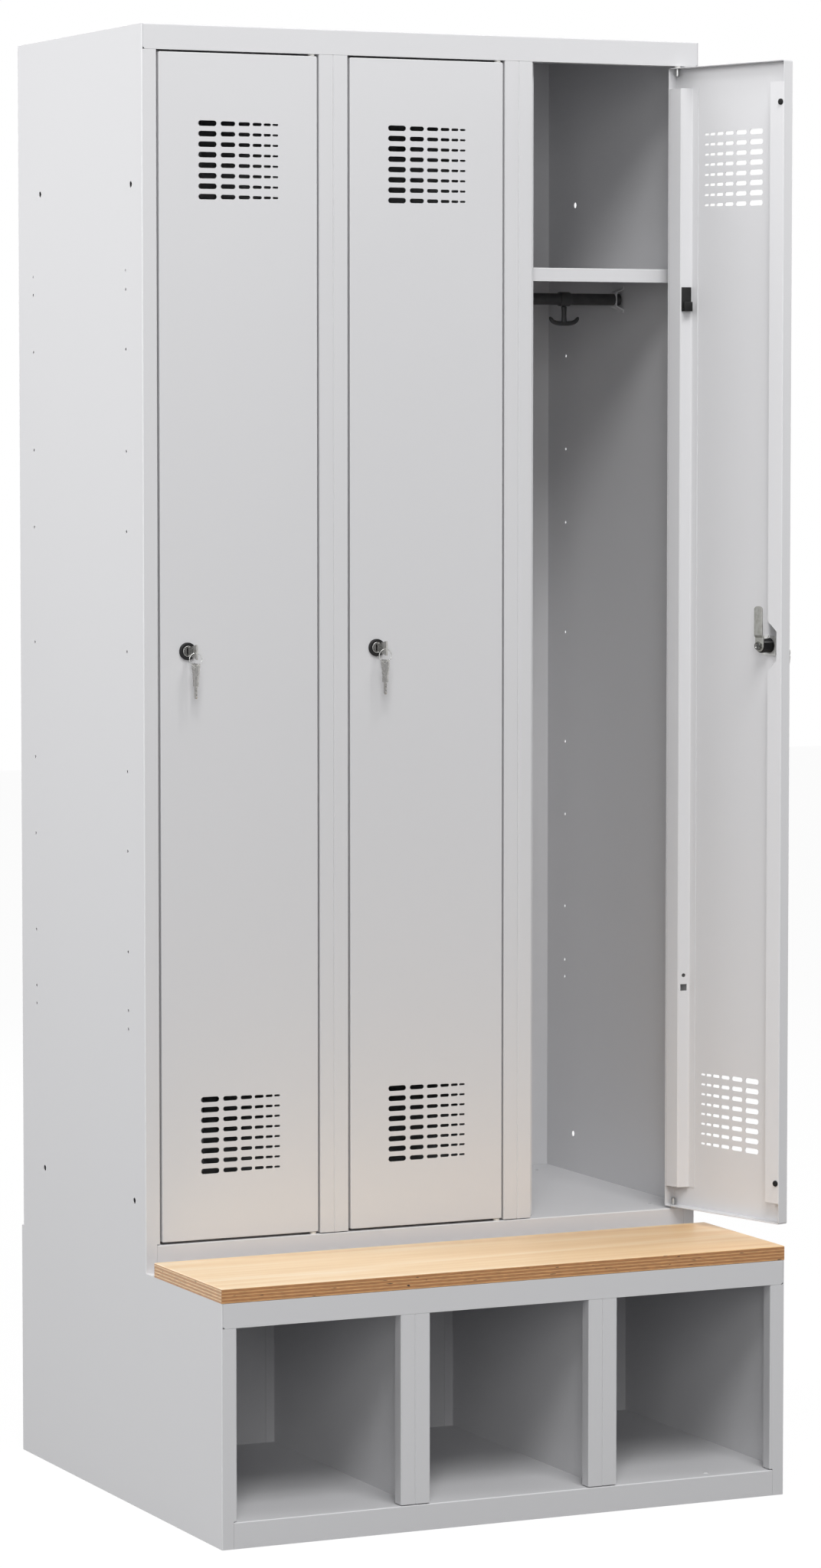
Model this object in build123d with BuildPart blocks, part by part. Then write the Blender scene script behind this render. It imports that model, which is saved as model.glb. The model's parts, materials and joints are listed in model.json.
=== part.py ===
"""Three-column cloakroom locker on a bench base with a plywood seat.

Millimetres, +Z up, +X to the right and +Y to the back.
The origin is on the floor, at the middle of the rectangle that the base stands on.
"""

import os
from math import asin, cos, sin

from build123d import *

# Overall sizes
column_count = 3
column_pitch = 300.0
body_height = 1800.0
body_depth = 500.0
base_height = 350.0
base_depth = 790.0
body_setback = 8.0
shoe_depth = 505.0

# Sheet steel
sheet = 1.0
fold_cut = 1.2
fold_relief = 2.0
seam = 0.25
lip_width = 23.0
lip_return = 20.0
rear_lip = 15.0
stop_width = 12.0
stop_return = 22.0
foot_notch = 5.0
foot_gap = 1.5
overrun = 3.0
body_head = 36.0
body_foot = 40.0
base_head = 36.0
base_foot = 38.0
flange_corner_cut = 3.0

# Flats on the rounds that repeat
hole_sides = 6
pin_sides = 8
rail_sides = 12
lock_sides = 16
ring_sides = 12
screw_sides = 6

# Holes in the side panels and floors
wall_hole_radius = 2.5
wall_hole_front = 64.0
wall_hole_rear = 438.0
wall_hole_offsets = (0.0, 174.0, 290.0, 437.0, 523.0, 550.0)
joining_hole_radius = 4.5
joining_hole_front = 43.0
joining_hole_rear = 407.0
joining_hole_low = 101.0
joining_hole_high = 1573.0
floor_hole_radius = 3.5
floor_hole_front = 57.0
floor_hole_rear = 446.0
floor_hole_inset = 46.0

# Shelf and hanger rail
shelf_top = 1462.0
shelf_lip = 20.0
shelf_setback = 35.0
rail_radius = 9.0
rail_wall = 1.5
rail_height = 1421.5
rail_end_gap = 3.0
rail_clearance = 0.1
strap_depth = 21.0
strap_offset = 13.0
strap_flat = 22.0
strap_wing = 5.0
strap_foot = 4.3
strap_sheet = 1.5

# Double hook on the rail
hook_collar_width = 18.0
hook_collar_wall = 2.3
hook_collar_chamfer = 1.5
hook_stem_width = 5.0
hook_bar = 5.0
hook_drop = 38.5
hook_tip_drop = 31.5
hook_half_span = 21.5
hook_arm_steps = 3
hook_place = 201.0

# Doors
door_gap = 3.0
door_foot_gap = 3.5
door_thickness = 18.0
door_corner_cut = 1.8
door_return = 29.0
door_return_end = 31.0
lock_relief_outer = 37.0
lock_relief_inner = 22.0
lock_relief_depth = 18.5
door_open_angles = (0.0, 0.0, 105.0)
hinge_inset = 6.5
hinge_setback = 6.0
pin_radius = 3.0
pin_clearance = 0.05
pin_inside = 12.0
pin_outside = 8.0
bush_radius = 4.0
bush_collar_radius = 4.8
bush_end_gap = 0.3
bush_tail = 2.0

# Vent slots: six columns that shrink towards the hinge
vent_rows = 8
vent_row_pitch = 15.0
vent_end = 100.5
vent_widths = (28.6, 22.8, 18.1, 14.3, 11.3, 9.0)
vent_heights = (7.6, 6.1, 4.9, 3.8, 3.0, 2.3)
vent_gap_share = 0.246

# Stiffener on the hinge side of a door
stiffener_crest = 28.0
stiffener_foot_start = 35.0
stiffener_foot = 13.0
stiffener_end = 31.0
stiffener_fold = 9.0
spare_round_radius = 3.0
spare_round_height = 354.0
spare_square = 10.0
spare_square_height = 335.5

# Coat hook
coat_hook_width = 15.0
coat_hook_height = 36.0
coat_hook_plate = 2.5
coat_hook_reach = 13.0
coat_hook_tip_width = 12.0
coat_hook_tip_height = 14.0
coat_hook_tip_wall = 4.0
coat_hook_base = 1354.5

# Buffers
buffer_radius = 4.5
buffer_gap = 0.3
buffer_inset = 6.5
buffer_end = 61.0

# Lock
lock_inset = 42.0
escutcheon_radius = 12.7
escutcheon_rise = 4.0
escutcheon_bevel = 2.5
barrel_radius = 10.5
barrel_flats = 18.4
barrel_end = 14.7
plug_end = 15.0
plug_radius = 8.3
plug_clearance = 0.06
plug_setback = 0.3
keyway_width = 2.4
keyway_height = 8.4
keyway_depth = 20.0
clip_width = 27.0
clip_height = 29.0
clip_sheet = 1.5
clip_gap = 0.5
clip_slot_width = 4.0
clip_slot_height = 2.5
cam_width = 17.0
cam_reach = 58.7
cam_sheet = 2.0
cam_crank = 2.5
cam_crank_start = 12.0
cam_crank_run = 4.0
cam_corner_share = 0.29
cam_screw_radius = 6.0
cam_screw_head = 3.8

# Keys and ring
key_thickness = 2.2
key_blade_height = 8.0
key_blade_length = 18.0
key_head_length = 33.0
key_head_width = 22.0
key_shoulder_width = 11.0
key_corner_cut = 1.6
key_hole_radius = 2.1
key_hole_inset = 5.5
key_tooth_pitch = 3.0
key_tooth_depths = (1.2, 2.0, 0.8, 1.6)
key_tip = 2.5
key_shoulder_gap = 0.3
ring_radius = 9.7
ring_wire = 0.55
ring_rest_gap = 0.3

# Dark hole in the floor of the last shoe compartment
base_hole_radius = 4.5
base_hole_inset = 117.0
base_hole_depth = 24.0

# Seat board
board_thickness = 21.0
board_gap = 33.0
board_edge = 1.0

# Places worked out from the sizes above
body_width = column_count * column_pitch
left = -body_width / 2
right = body_width / 2
base_front = -base_depth / 2
base_back = base_depth / 2
body_back = base_back - body_setback
body_front = body_back - body_depth
body_top = base_height + body_height
body_floor = base_height + body_foot
inner_back = base_front + shoe_depth
seams = [left + column_pitch * index for index in range(1, column_count)]

door_width = column_pitch - 2 * lip_width - 2 * door_gap
door_bottom = body_floor + door_foot_gap
door_height = body_top - body_head - door_gap - door_bottom
door_front = -hinge_setback
door_back = door_front + door_thickness
door_hinge_edge = hinge_inset
door_lock_edge = hinge_inset - door_width
lock_x = door_lock_edge + lock_inset
lock_z = door_height / 2
lock_relief_x = door_lock_edge + door_return - lock_relief_depth

os.makedirs("parts", exist_ok=True)


def save(part, label):
    """Label a finished piece and write it to parts/."""
    part.label = label
    export_step(part, f"parts/{label}.step")


def cut_corners(points, cut):
    """Outline with one facet across each corner between its ends."""
    outline = [Vector(*points[0])]
    for before, corner, after in zip(points, points[1:], points[2:]):
        for neighbour in (before, after):
            along = (Vector(*neighbour) - Vector(*corner)).normalized()
            outline.append(Vector(*corner) + along * cut)
    outline.append(Vector(*points[-1]))
    return outline


def folded_sheet(outline, side, thickness=sheet):
    """Section of a sheet that is folded along its outer line."""
    with BuildSketch() as section:
        with BuildLine():
            Polyline(*outline)
            offset(amount=thickness, side=side, kind=Kind.INTERSECTION)
        make_face()
    return section.sketch


def snug_bore(radius, sides):
    """Bore with flats that a round of this radius turns in."""
    with BuildSketch() as bore:
        RegularPolygon(radius, side_count=sides, major_radius=False)
    return bore.sketch


def block(low, high):
    """Plain box between two corners, used to cut or add."""
    with BuildPart() as body:
        with Locations(low):
            Box(*(b - a for a, b in zip(low, high)), align=(Align.MIN, Align.MIN, Align.MIN))
    return body.part


def wall_section(outer, inward, front, back, with_stop, rear_lip_start):
    """Plan section of a wall: stop, return, front lip, wall and rear lip."""
    lip_x = outer + inward * lip_width
    inner_edge = front + (stop_return if with_stop else lip_return)
    points = [
        (lip_x, inner_edge),
        (lip_x, front),
        (outer, front),
        (outer, back),
        (outer + inward * rear_lip_start, back),
    ]
    if with_stop:
        points.insert(0, (lip_x + inward * stop_width, inner_edge))
    return folded_sheet(cut_corners(points, fold_cut), Side.RIGHT if inward > 0 else Side.LEFT)


def wall_holes(part_x, low, front):
    """Cutters for the small holes and the round joining holes through a wall."""
    middle = low + body_height / 2
    with BuildPart() as cutters:
        heights = sorted({middle + sign * rise for rise in wall_hole_offsets for sign in (1, -1)})
        small = [(front + depth, height) for depth in (wall_hole_front, wall_hole_rear) for height in heights]
        with BuildSketch(Plane.YZ.offset(part_x - overrun)):
            with Locations(*small):
                RegularPolygon(wall_hole_radius, side_count=hole_sides)
        extrude(amount=2 * overrun)
        large = [
            (front + depth, low + height)
            for depth in (joining_hole_front, joining_hole_rear)
            for height in (joining_hole_low, joining_hole_high)
        ]
        with BuildSketch(Plane.YZ.offset(part_x - overrun)):
            with Locations(*large):
                Circle(joining_hole_radius)
        extrude(amount=2 * overrun)
    return cutters.part


def end_panel(inward, front, back, low, high, head, foot, with_stop):
    """Outer side of the body or of the base, notched for the front flanges."""
    outer = -inward * body_width / 2
    lip_end = outer + inward * (lip_width + stop_width + overrun)
    notch_depth = front + stop_return + overrun
    head_x = sorted((outer + inward * fold_relief, lip_end))
    foot_x = sorted((outer + inward * (lip_width - foot_notch), lip_end))
    with BuildPart() as panel:
        with BuildSketch(Plane.XY.offset(low)):
            add(wall_section(outer, inward, front, back, with_stop, rear_lip))
        extrude(amount=high - low)
        add(
            block((head_x[0], front - overrun, high - head - seam), (head_x[1], notch_depth, high + overrun)),
            mode=Mode.SUBTRACT,
        )
        add(
            block((foot_x[0], front - overrun, low - overrun), (foot_x[1], notch_depth, low + foot + foot_gap)),
            mode=Mode.SUBTRACT,
        )
    return panel


def divider_pair(seam_x, front, back, low, high, head, with_stop):
    """Two folded sheets back to back, whose lips end below the head flange and above the floor."""
    notch_depth = front + stop_return + overrun
    reach = lip_width + stop_width + overrun
    with BuildPart() as pair:
        with BuildSketch(Plane.XY.offset(low)):
            add(wall_section(seam_x, 1, front, back, with_stop, rear_lip))
            add(wall_section(seam_x, -1, front, back, False, rear_lip))
        extrude(amount=high - low)
        head_low = high + sheet - head - seam
        add(
            block((seam_x - reach, front - overrun, head_low), (seam_x + reach, notch_depth, high + overrun)),
            mode=Mode.SUBTRACT,
        )
        add(
            block((seam_x - reach, front - overrun, low - overrun), (seam_x + reach, notch_depth, low + foot_gap)),
            mode=Mode.SUBTRACT,
        )
    return pair


def head_panel(front, back, top, head, return_depth):
    """Top sheet with a front flange that covers the lips, and a return over each doorway."""
    inner = body_width / 2 - sheet
    flange_end = body_width / 2 - fold_relief - seam
    with BuildPart() as panel:
        with BuildSketch(Plane.YZ.offset(-inner)):
            outline = [(front, top - head), (front, top), (back, top)]
            add(folded_sheet(cut_corners(outline, fold_cut), Side.RIGHT))
        extrude(amount=2 * inner)
        for side in (-1, 1):
            ends = sorted((side * flange_end, side * (inner + overrun)))
            add(
                block(
                    (ends[0], front - overrun, top - head - overrun),
                    (ends[1], front + fold_relief + seam, top + overrun),
                ),
                mode=Mode.SUBTRACT,
            )
        corners = panel.edges().filter_by(Axis.Y).group_by(Axis.Z)[0]
        chamfer(corners, length=flange_corner_cut)
        for index in range(column_count):
            start = left + index * column_pitch + lip_width + seam
            end = left + (index + 1) * column_pitch - lip_width - seam
            add(block((start, front, top - head), (end, front + return_depth, top - head + sheet)))
    return panel


def floor_tray(front, back, low, foot):
    """Floor sheet with a front and a rear flange, set between the side panels."""
    inner = body_width / 2 - sheet
    flange_end = body_width / 2 - lip_width + foot_notch - seam
    with BuildPart() as panel:
        with BuildSketch(Plane.YZ.offset(-inner)):
            outline = [(front, low), (front, low + foot), (back, low + foot), (back, low)]
            add(folded_sheet(cut_corners(outline, fold_cut), Side.RIGHT))
        extrude(amount=2 * inner)
        for side in (-1, 1):
            ends = sorted((side * flange_end, side * (inner + overrun)))
            add(
                block(
                    (ends[0], front - overrun, low - overrun),
                    (ends[1], front + fold_relief + seam, low + foot + overrun),
                ),
                mode=Mode.SUBTRACT,
            )
    return panel


# Locker body: side panels, dividers, back, roof and floor
with BuildPart() as left_side_panel:
    add(end_panel(1, body_front, body_back, base_height, body_top, body_head, body_foot, True).part)
    add(wall_holes(left, base_height, body_front), mode=Mode.SUBTRACT)
save(left_side_panel.part, "left_side_panel")

with BuildPart() as right_side_panel:
    add(end_panel(-1, body_front, body_back, base_height, body_top, body_head, body_foot, False).part)
    add(wall_holes(right, base_height, body_front), mode=Mode.SUBTRACT)
save(right_side_panel.part, "right_side_panel")

divider_back = body_back - 2 * sheet
for number, seam_x in enumerate(seams, start=1):
    divider = divider_pair(seam_x, body_front, divider_back, body_floor, body_top - sheet, body_head, True)
    save(divider.part, f"divider_{number}")

with BuildPart() as back_panel:
    add(
        block(
            (left + fold_relief, divider_back, base_height),
            (right - fold_relief, body_back - sheet, body_top),
        )
    )
save(back_panel.part, "back_panel")

hinge_edge = lip_width + door_gap + hinge_inset
hinge_lines = [left + (index + 1) * column_pitch - hinge_edge for index in range(column_count)]
hinge_y = body_front + hinge_setback
hinge_places = [(hinge_x, hinge_y) for hinge_x in hinge_lines]

with BuildPart() as roof_panel:
    add(head_panel(body_front, divider_back, body_top, body_head, lip_return).part)
    with BuildSketch(Plane.XY.offset(body_top - body_head - overrun)):
        with Locations(*hinge_places):
            RegularPolygon(bush_radius, side_count=pin_sides)
    extrude(amount=2 * overrun, mode=Mode.SUBTRACT)
save(roof_panel.part, "roof_panel")

floor_holes = [
    (left + index * column_pitch + inset, body_front + depth)
    for index in range(column_count)
    for inset in (floor_hole_inset, column_pitch - floor_hole_inset)
    for depth in (floor_hole_front, floor_hole_rear)
]
with BuildPart() as floor_panel:
    add(floor_tray(body_front, divider_back, base_height, body_foot).part)
    with BuildSketch(Plane.XY.offset(body_floor - overrun)):
        with Locations(*floor_holes):
            RegularPolygon(floor_hole_radius, side_count=hole_sides)
        with Locations(*hinge_places):
            RegularPolygon(bush_radius, side_count=pin_sides)
    extrude(amount=2 * overrun, mode=Mode.SUBTRACT)
save(floor_panel.part, "floor_panel")


# Shelves, hanger rails and their straps
columns = [left + index * column_pitch for index in range(column_count)]
rail_y = body_front + body_depth / 2
rail_z = base_height + rail_height
shelf_front = body_front + shelf_setback
shelf_z = base_height + shelf_top

with BuildPart() as shelves:
    for column_x in columns:
        with BuildPart(mode=Mode.PRIVATE) as shelf:
            add(
                block(
                    (column_x + sheet + seam, shelf_front, shelf_z - shelf_lip),
                    (column_x + column_pitch - sheet - seam, divider_back - fold_relief, shelf_z),
                )
            )
            top_face = shelf.faces().sort_by(Axis.Z)[-1]
            chamfer(top_face.edges(), length=fold_cut)
            offset(amount=-sheet, openings=shelf.faces().sort_by(Axis.Z)[0])
        add(shelf.part)
save(shelves.part, "shelves")


def strap(wall_x, inward):
    """Hat-shaped strap on a wall, with a hole for the rail's end."""
    half_flat = strap_flat / 2
    half_wing = half_flat + strap_wing
    half_strap = half_wing + strap_foot
    outline = [
        (wall_x + inward * strap_sheet, rail_z - half_strap),
        (wall_x + inward * strap_sheet, rail_z - half_wing),
        (wall_x + inward * strap_offset, rail_z - half_flat),
        (wall_x + inward * strap_offset, rail_z + half_flat),
        (wall_x + inward * strap_sheet, rail_z + half_wing),
        (wall_x + inward * strap_sheet, rail_z + half_strap),
    ]
    with BuildPart() as bracket:
        with BuildSketch(Plane.XZ.offset(-rail_y - strap_depth / 2)):
            add(folded_sheet(outline, Side.LEFT if inward > 0 else Side.RIGHT, strap_sheet))
        extrude(amount=strap_depth)
        with BuildSketch(Plane.YZ.offset(wall_x + inward * strap_offset / 2)):
            with Locations((rail_y, rail_z)):
                add(snug_bore(rail_radius + rail_clearance, rail_sides))
        extrude(amount=inward * strap_offset, mode=Mode.SUBTRACT)
    return bracket.part


with BuildPart() as rail_brackets:
    for column_x in columns:
        add(strap(column_x + sheet, 1))
        add(strap(column_x + column_pitch - sheet, -1))
save(rail_brackets.part, "rail_brackets")

rail_length = column_pitch - 2 * sheet - 2 * rail_end_gap
with BuildPart() as hanger_rail:
    with BuildSketch(Plane.YZ.offset(-rail_length / 2)):
        RegularPolygon(rail_radius, side_count=rail_sides)
        RegularPolygon(rail_radius - rail_wall, side_count=rail_sides, mode=Mode.SUBTRACT)
    extrude(amount=rail_length)

# The hook's two arms are one bar bent to an arc, which the stem hangs from the collar
arm_rise = hook_drop - hook_tip_drop
arm_radius = (hook_half_span**2 + arm_rise**2) / (2 * arm_rise)
arm_angle = asin(hook_half_span / arm_radius)
arm_tip_angle = arm_angle + hook_bar / 2 / arm_radius


def on_arm(outward, angle):
    """Point beside the arms' middle line, at an angle from straight down."""
    reach = arm_radius + outward
    return (reach * sin(angle), arm_radius - hook_drop - reach * cos(angle))


arm_angles = [arm_angle * step / hook_arm_steps for step in range(-hook_arm_steps, hook_arm_steps + 1)]
collar_radius = rail_radius + rail_clearance + hook_collar_wall
with BuildPart() as rail_hook:
    with BuildSketch(Plane.YZ.offset(-hook_collar_width / 2)):
        RegularPolygon(collar_radius, side_count=rail_sides)
    extrude(amount=hook_collar_width)
    chamfer(rail_hook.faces().filter_by(Axis.X).edges(), length=hook_collar_chamfer)
    with BuildSketch(Plane.XZ.offset(-hook_bar / 2)):
        with BuildLine():
            Polyline(
                *[on_arm(hook_bar / 2, angle) for angle in arm_angles],
                on_arm(0, arm_tip_angle),
                *[on_arm(-hook_bar / 2, angle) for angle in reversed(arm_angles)],
                on_arm(0, -arm_tip_angle),
                close=True,
            )
        make_face()
        with Locations((0, -hook_drop)):
            Rectangle(hook_stem_width, hook_drop, align=(Align.CENTER, Align.MIN))
    extrude(amount=hook_bar)
    with BuildSketch(Plane.YZ.offset(-hook_collar_width / 2)):
        add(snug_bore(rail_radius + rail_clearance, rail_sides))
    extrude(amount=hook_collar_width, mode=Mode.SUBTRACT)

for number, column_x in enumerate(columns, start=1):
    rail_place = Location((column_x + column_pitch / 2, rail_y, rail_z))
    save(rail_place * hanger_rail.part, f"hanger_rail_{number}")
    hook_location = Location((column_x + hook_place, rail_y, rail_z))
    save(hook_location * rail_hook.part, f"rail_hook_{number}")


# Hinge bushes: a collar in each gap above and below the doors, with a tail through the sheet
def bush(sheet_face, collar_height, tail_height):
    """Bushes of all doors on one sheet: signed heights of collar and tail from its face."""
    with BuildPart() as bushes:
        with BuildSketch(Plane.XY.offset(sheet_face)):
            with Locations(*hinge_places):
                RegularPolygon(bush_collar_radius, side_count=pin_sides)
        extrude(amount=collar_height)
        with BuildSketch(Plane.XY.offset(sheet_face)):
            with Locations(*hinge_places):
                RegularPolygon(bush_radius, side_count=pin_sides)
        extrude(amount=tail_height)
        with BuildSketch(Plane.XY.offset(sheet_face)):
            with Locations(*hinge_places):
                add(snug_bore(pin_radius + pin_clearance, pin_sides))
        extrude(amount=body_head, both=True, mode=Mode.SUBTRACT)
    return bushes.part


bush_tail_height = sheet + bush_tail
with BuildPart() as hinge_bushings:
    add(bush(body_floor, door_foot_gap - bush_end_gap, -bush_tail_height))
    add(bush(body_top - body_head, bush_end_gap - door_gap, bush_tail_height))
save(hinge_bushings.part, "hinge_bushings")


# Base under the lockers and in front of them
save(end_panel(1, base_front, base_back, 0, base_height, base_head, base_foot, False).part, "base_left_side")
save(end_panel(-1, base_front, base_back, 0, base_height, base_head, base_foot, False).part, "base_right_side")

with BuildPart() as base_top:
    add(head_panel(base_front, base_back - fold_relief, base_height, base_head, lip_return).part)
save(base_top.part, "base_top")

base_hole_place = (right - base_hole_inset, base_front + base_hole_depth, base_foot)
with BuildPart() as base_floor:
    add(floor_tray(base_front, base_back - fold_relief, 0, base_foot).part)
    with Locations(base_hole_place):
        Cylinder(base_hole_radius, 2 * overrun, mode=Mode.SUBTRACT)
save(base_floor.part, "base_floor")

with BuildPart() as base_back_panel:
    add(
        block(
            (left + sheet, inner_back, base_foot),
            (right - sheet, inner_back + sheet, base_height - sheet),
        )
    )
save(base_back_panel.part, "base_back")

with BuildPart() as base_dividers:
    for seam_x in seams:
        add(divider_pair(seam_x, base_front, inner_back, base_foot, base_height - sheet, base_head, False).part)
save(base_dividers.part, "base_dividers")

# Plywood seat
board_back = body_front - board_gap
with BuildPart() as bench_board:
    add(block((left, base_front, base_height), (right, board_back, base_height + board_thickness)))
    chamfer(bench_board.faces().sort_by(Axis.Z)[-1].edges(), length=board_edge)
save(bench_board.part, "bench_board")


# Doors: every piece is drawn on a closed door whose hinge line is the Z axis
def vent_field():
    """One field of slots that shrink towards the hinge, centred on its own middle."""
    gaps = [vent_gap_share * (a + b) / 2 for a, b in zip(vent_widths, vent_widths[1:])]
    total = sum(vent_widths) + sum(gaps)
    start = -total / 2
    with BuildSketch() as field:
        for width, height, gap in zip(vent_widths, vent_heights, gaps + [0]):
            with Locations((start + width / 2, 0)):
                with GridLocations(0, vent_row_pitch, 1, vent_rows):
                    Rectangle(width, height)
            start += width + gap
    return field.sketch


stiffener_crest_x = door_hinge_edge - stiffener_crest
stiffener_slope_x = door_hinge_edge - stiffener_foot_start
stiffener_back_y = door_back
stiffener_foot_y = door_front + 2 * sheet
slope_middle = ((stiffener_crest_x + stiffener_slope_x) / 2, (stiffener_back_y + stiffener_foot_y) / 2)
slope_run = Vector(stiffener_slope_x - stiffener_crest_x, stiffener_foot_y - stiffener_back_y, 0)
slope_normal = Vector(slope_run.Y, -slope_run.X, 0)


def on_slope(height):
    """Plane on the stiffener's slope, Y up and Z out of the sheet."""
    return Plane(origin=(*slope_middle, height), x_dir=slope_run, z_dir=slope_normal)


with BuildPart() as door_panel:
    add(block((door_lock_edge, door_front, 0), (door_hinge_edge, door_back, door_height)))
    chamfer(door_panel.edges().filter_by(Axis.Y), length=door_corner_cut)
    chamfer(door_panel.faces().sort_by(Axis.Y)[0].edges(), length=fold_cut)
    offset(amount=-sheet, openings=door_panel.faces().sort_by(Axis.Y)[-1])
    # Return flange along the lock edge, cut back around the lock
    return_x = door_lock_edge + door_return
    return_base = door_back - 2 * fold_relief
    add(
        block(
            (door_lock_edge, return_base, door_return_end),
            (door_lock_edge + sheet, door_back, door_height - door_return_end),
        ),
        mode=Mode.SUBTRACT,
    )
    with BuildSketch(Plane.XY.offset(door_return_end)):
        outline = [(door_lock_edge, return_base), (door_lock_edge, door_back), (return_x, door_back)]
        add(folded_sheet(cut_corners(outline, fold_cut), Side.RIGHT))
    extrude(amount=door_height - 2 * door_return_end)
    with BuildSketch(Plane.XZ.offset(-door_back - overrun)):
        with BuildLine():
            Polyline(
                (return_x + overrun, lock_z - lock_relief_outer),
                (return_x, lock_z - lock_relief_outer),
                (lock_relief_x, lock_z - lock_relief_inner),
                (lock_relief_x, lock_z + lock_relief_inner),
                (return_x, lock_z + lock_relief_outer),
                (return_x + overrun, lock_z + lock_relief_outer),
                close=True,
            )
        make_face()
    extrude(amount=2 * overrun, mode=Mode.SUBTRACT)
    # Vent slots in one cut
    door_middle = (door_lock_edge + door_hinge_edge) / 2
    field_reach = vent_end + (vent_rows - 1) * vent_row_pitch / 2
    with BuildSketch(Plane.XZ.offset(-door_front - overrun)):
        with Locations((door_middle, field_reach), (door_middle, door_height - field_reach)):
            add(vent_field())
    extrude(amount=2 * overrun, mode=Mode.SUBTRACT)
    # Holes for the lock and the hinge pins
    with Locations(Location((lock_x, door_front, lock_z), (90, 0, 0))):
        Cylinder(barrel_radius, 2 * overrun, mode=Mode.SUBTRACT)
    with Locations((0, 0, 0), (0, 0, door_height)):
        Cylinder(pin_radius, 2 * overrun, mode=Mode.SUBTRACT)

with BuildPart() as door_stiffener:
    with BuildSketch(Plane.XY.offset(stiffener_end)):
        outline = [
            (door_hinge_edge - sheet, stiffener_back_y - stiffener_fold),
            (door_hinge_edge - sheet, stiffener_back_y),
            (stiffener_crest_x, stiffener_back_y),
            (stiffener_slope_x, stiffener_foot_y),
            (stiffener_slope_x - stiffener_foot, stiffener_foot_y),
        ]
        add(folded_sheet(cut_corners(outline, fold_cut), Side.LEFT))
    extrude(amount=door_height - 2 * stiffener_end)
    with BuildSketch(on_slope(spare_round_height)):
        RegularPolygon(spare_round_radius, side_count=pin_sides)
    extrude(amount=2 * sheet, both=True, mode=Mode.SUBTRACT)
    with BuildSketch(on_slope(spare_square_height)):
        Rectangle(spare_square, spare_square)
    extrude(amount=2 * sheet, both=True, mode=Mode.SUBTRACT)

with BuildPart() as coat_hook:
    hook_plane = on_slope(coat_hook_base)
    with BuildSketch(hook_plane):
        Rectangle(coat_hook_width, coat_hook_height, align=(Align.CENTER, Align.MIN))
    extrude(amount=coat_hook_plate)
    with BuildSketch(hook_plane):
        Rectangle(coat_hook_tip_width, coat_hook_tip_wall, align=(Align.CENTER, Align.MIN))
    extrude(amount=coat_hook_reach)
    with BuildSketch(hook_plane.offset(coat_hook_reach - coat_hook_tip_wall)):
        Rectangle(coat_hook_tip_width, coat_hook_tip_height, align=(Align.CENTER, Align.MIN))
    extrude(amount=coat_hook_tip_wall)

buffer_rise = stop_return - sheet - door_thickness - buffer_gap
with BuildPart() as door_buffers:
    buffer_x = door_lock_edge + buffer_inset
    with BuildSketch(Plane.XZ.offset(-door_back - buffer_rise)):
        with Locations((buffer_x, buffer_end), (buffer_x, door_height - buffer_end)):
            RegularPolygon(buffer_radius, side_count=pin_sides)
    extrude(amount=buffer_rise)

with BuildPart() as hinge_pins:
    for pin_foot in (-pin_outside, door_height - pin_inside):
        with BuildSketch(Plane.XY.offset(pin_foot)):
            RegularPolygon(pin_radius, side_count=pin_sides)
        extrude(amount=pin_inside + pin_outside)

# Lock: housing, plug, clip and cam
escutcheon_front = door_front - escutcheon_rise

with BuildPart() as lock_housing:
    with BuildSketch(Plane.XZ.offset(-door_front)):
        with Locations((lock_x, lock_z)):
            RegularPolygon(escutcheon_radius, side_count=lock_sides)
    extrude(amount=escutcheon_rise)
    chamfer(lock_housing.faces().sort_by(Axis.Y)[0].edges(), length=escutcheon_bevel)
    with BuildSketch(Plane.XZ.offset(-barrel_end)):
        with Locations((lock_x, lock_z)):
            RegularPolygon(barrel_radius, side_count=lock_sides)
            Rectangle(barrel_flats, 2 * barrel_radius, mode=Mode.INTERSECT)
    extrude(amount=barrel_end - door_front)
    with BuildSketch(Plane.XZ.offset(-barrel_end)):
        with Locations((lock_x, lock_z)):
            add(snug_bore(plug_radius + plug_clearance, lock_sides))
    extrude(amount=barrel_end - escutcheon_front, mode=Mode.SUBTRACT)

with BuildPart() as lock_plug:
    plug_front = escutcheon_front + plug_setback
    with BuildSketch(Plane.XZ.offset(-plug_end)):
        with Locations((lock_x, lock_z)):
            RegularPolygon(plug_radius, side_count=lock_sides)
    extrude(amount=plug_end - plug_front)
    with BuildSketch(Plane.XZ.offset(-plug_front - keyway_depth)):
        with Locations((lock_x, lock_z)):
            Rectangle(keyway_width, keyway_height)
    extrude(amount=keyway_depth, mode=Mode.SUBTRACT)

with BuildPart() as lock_clip:
    with BuildSketch(Plane.XZ.offset(-door_front - sheet - clip_sheet)):
        with Locations((lock_x, lock_z)):
            Rectangle(clip_width, clip_height)
            add(snug_bore(barrel_radius + clip_gap, rail_sides), mode=Mode.SUBTRACT)
        with Locations((lock_x, lock_z + clip_height / 2)):
            Rectangle(clip_slot_width, clip_slot_height, align=(Align.CENTER, Align.MAX), mode=Mode.SUBTRACT)
    extrude(amount=clip_sheet)

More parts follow.
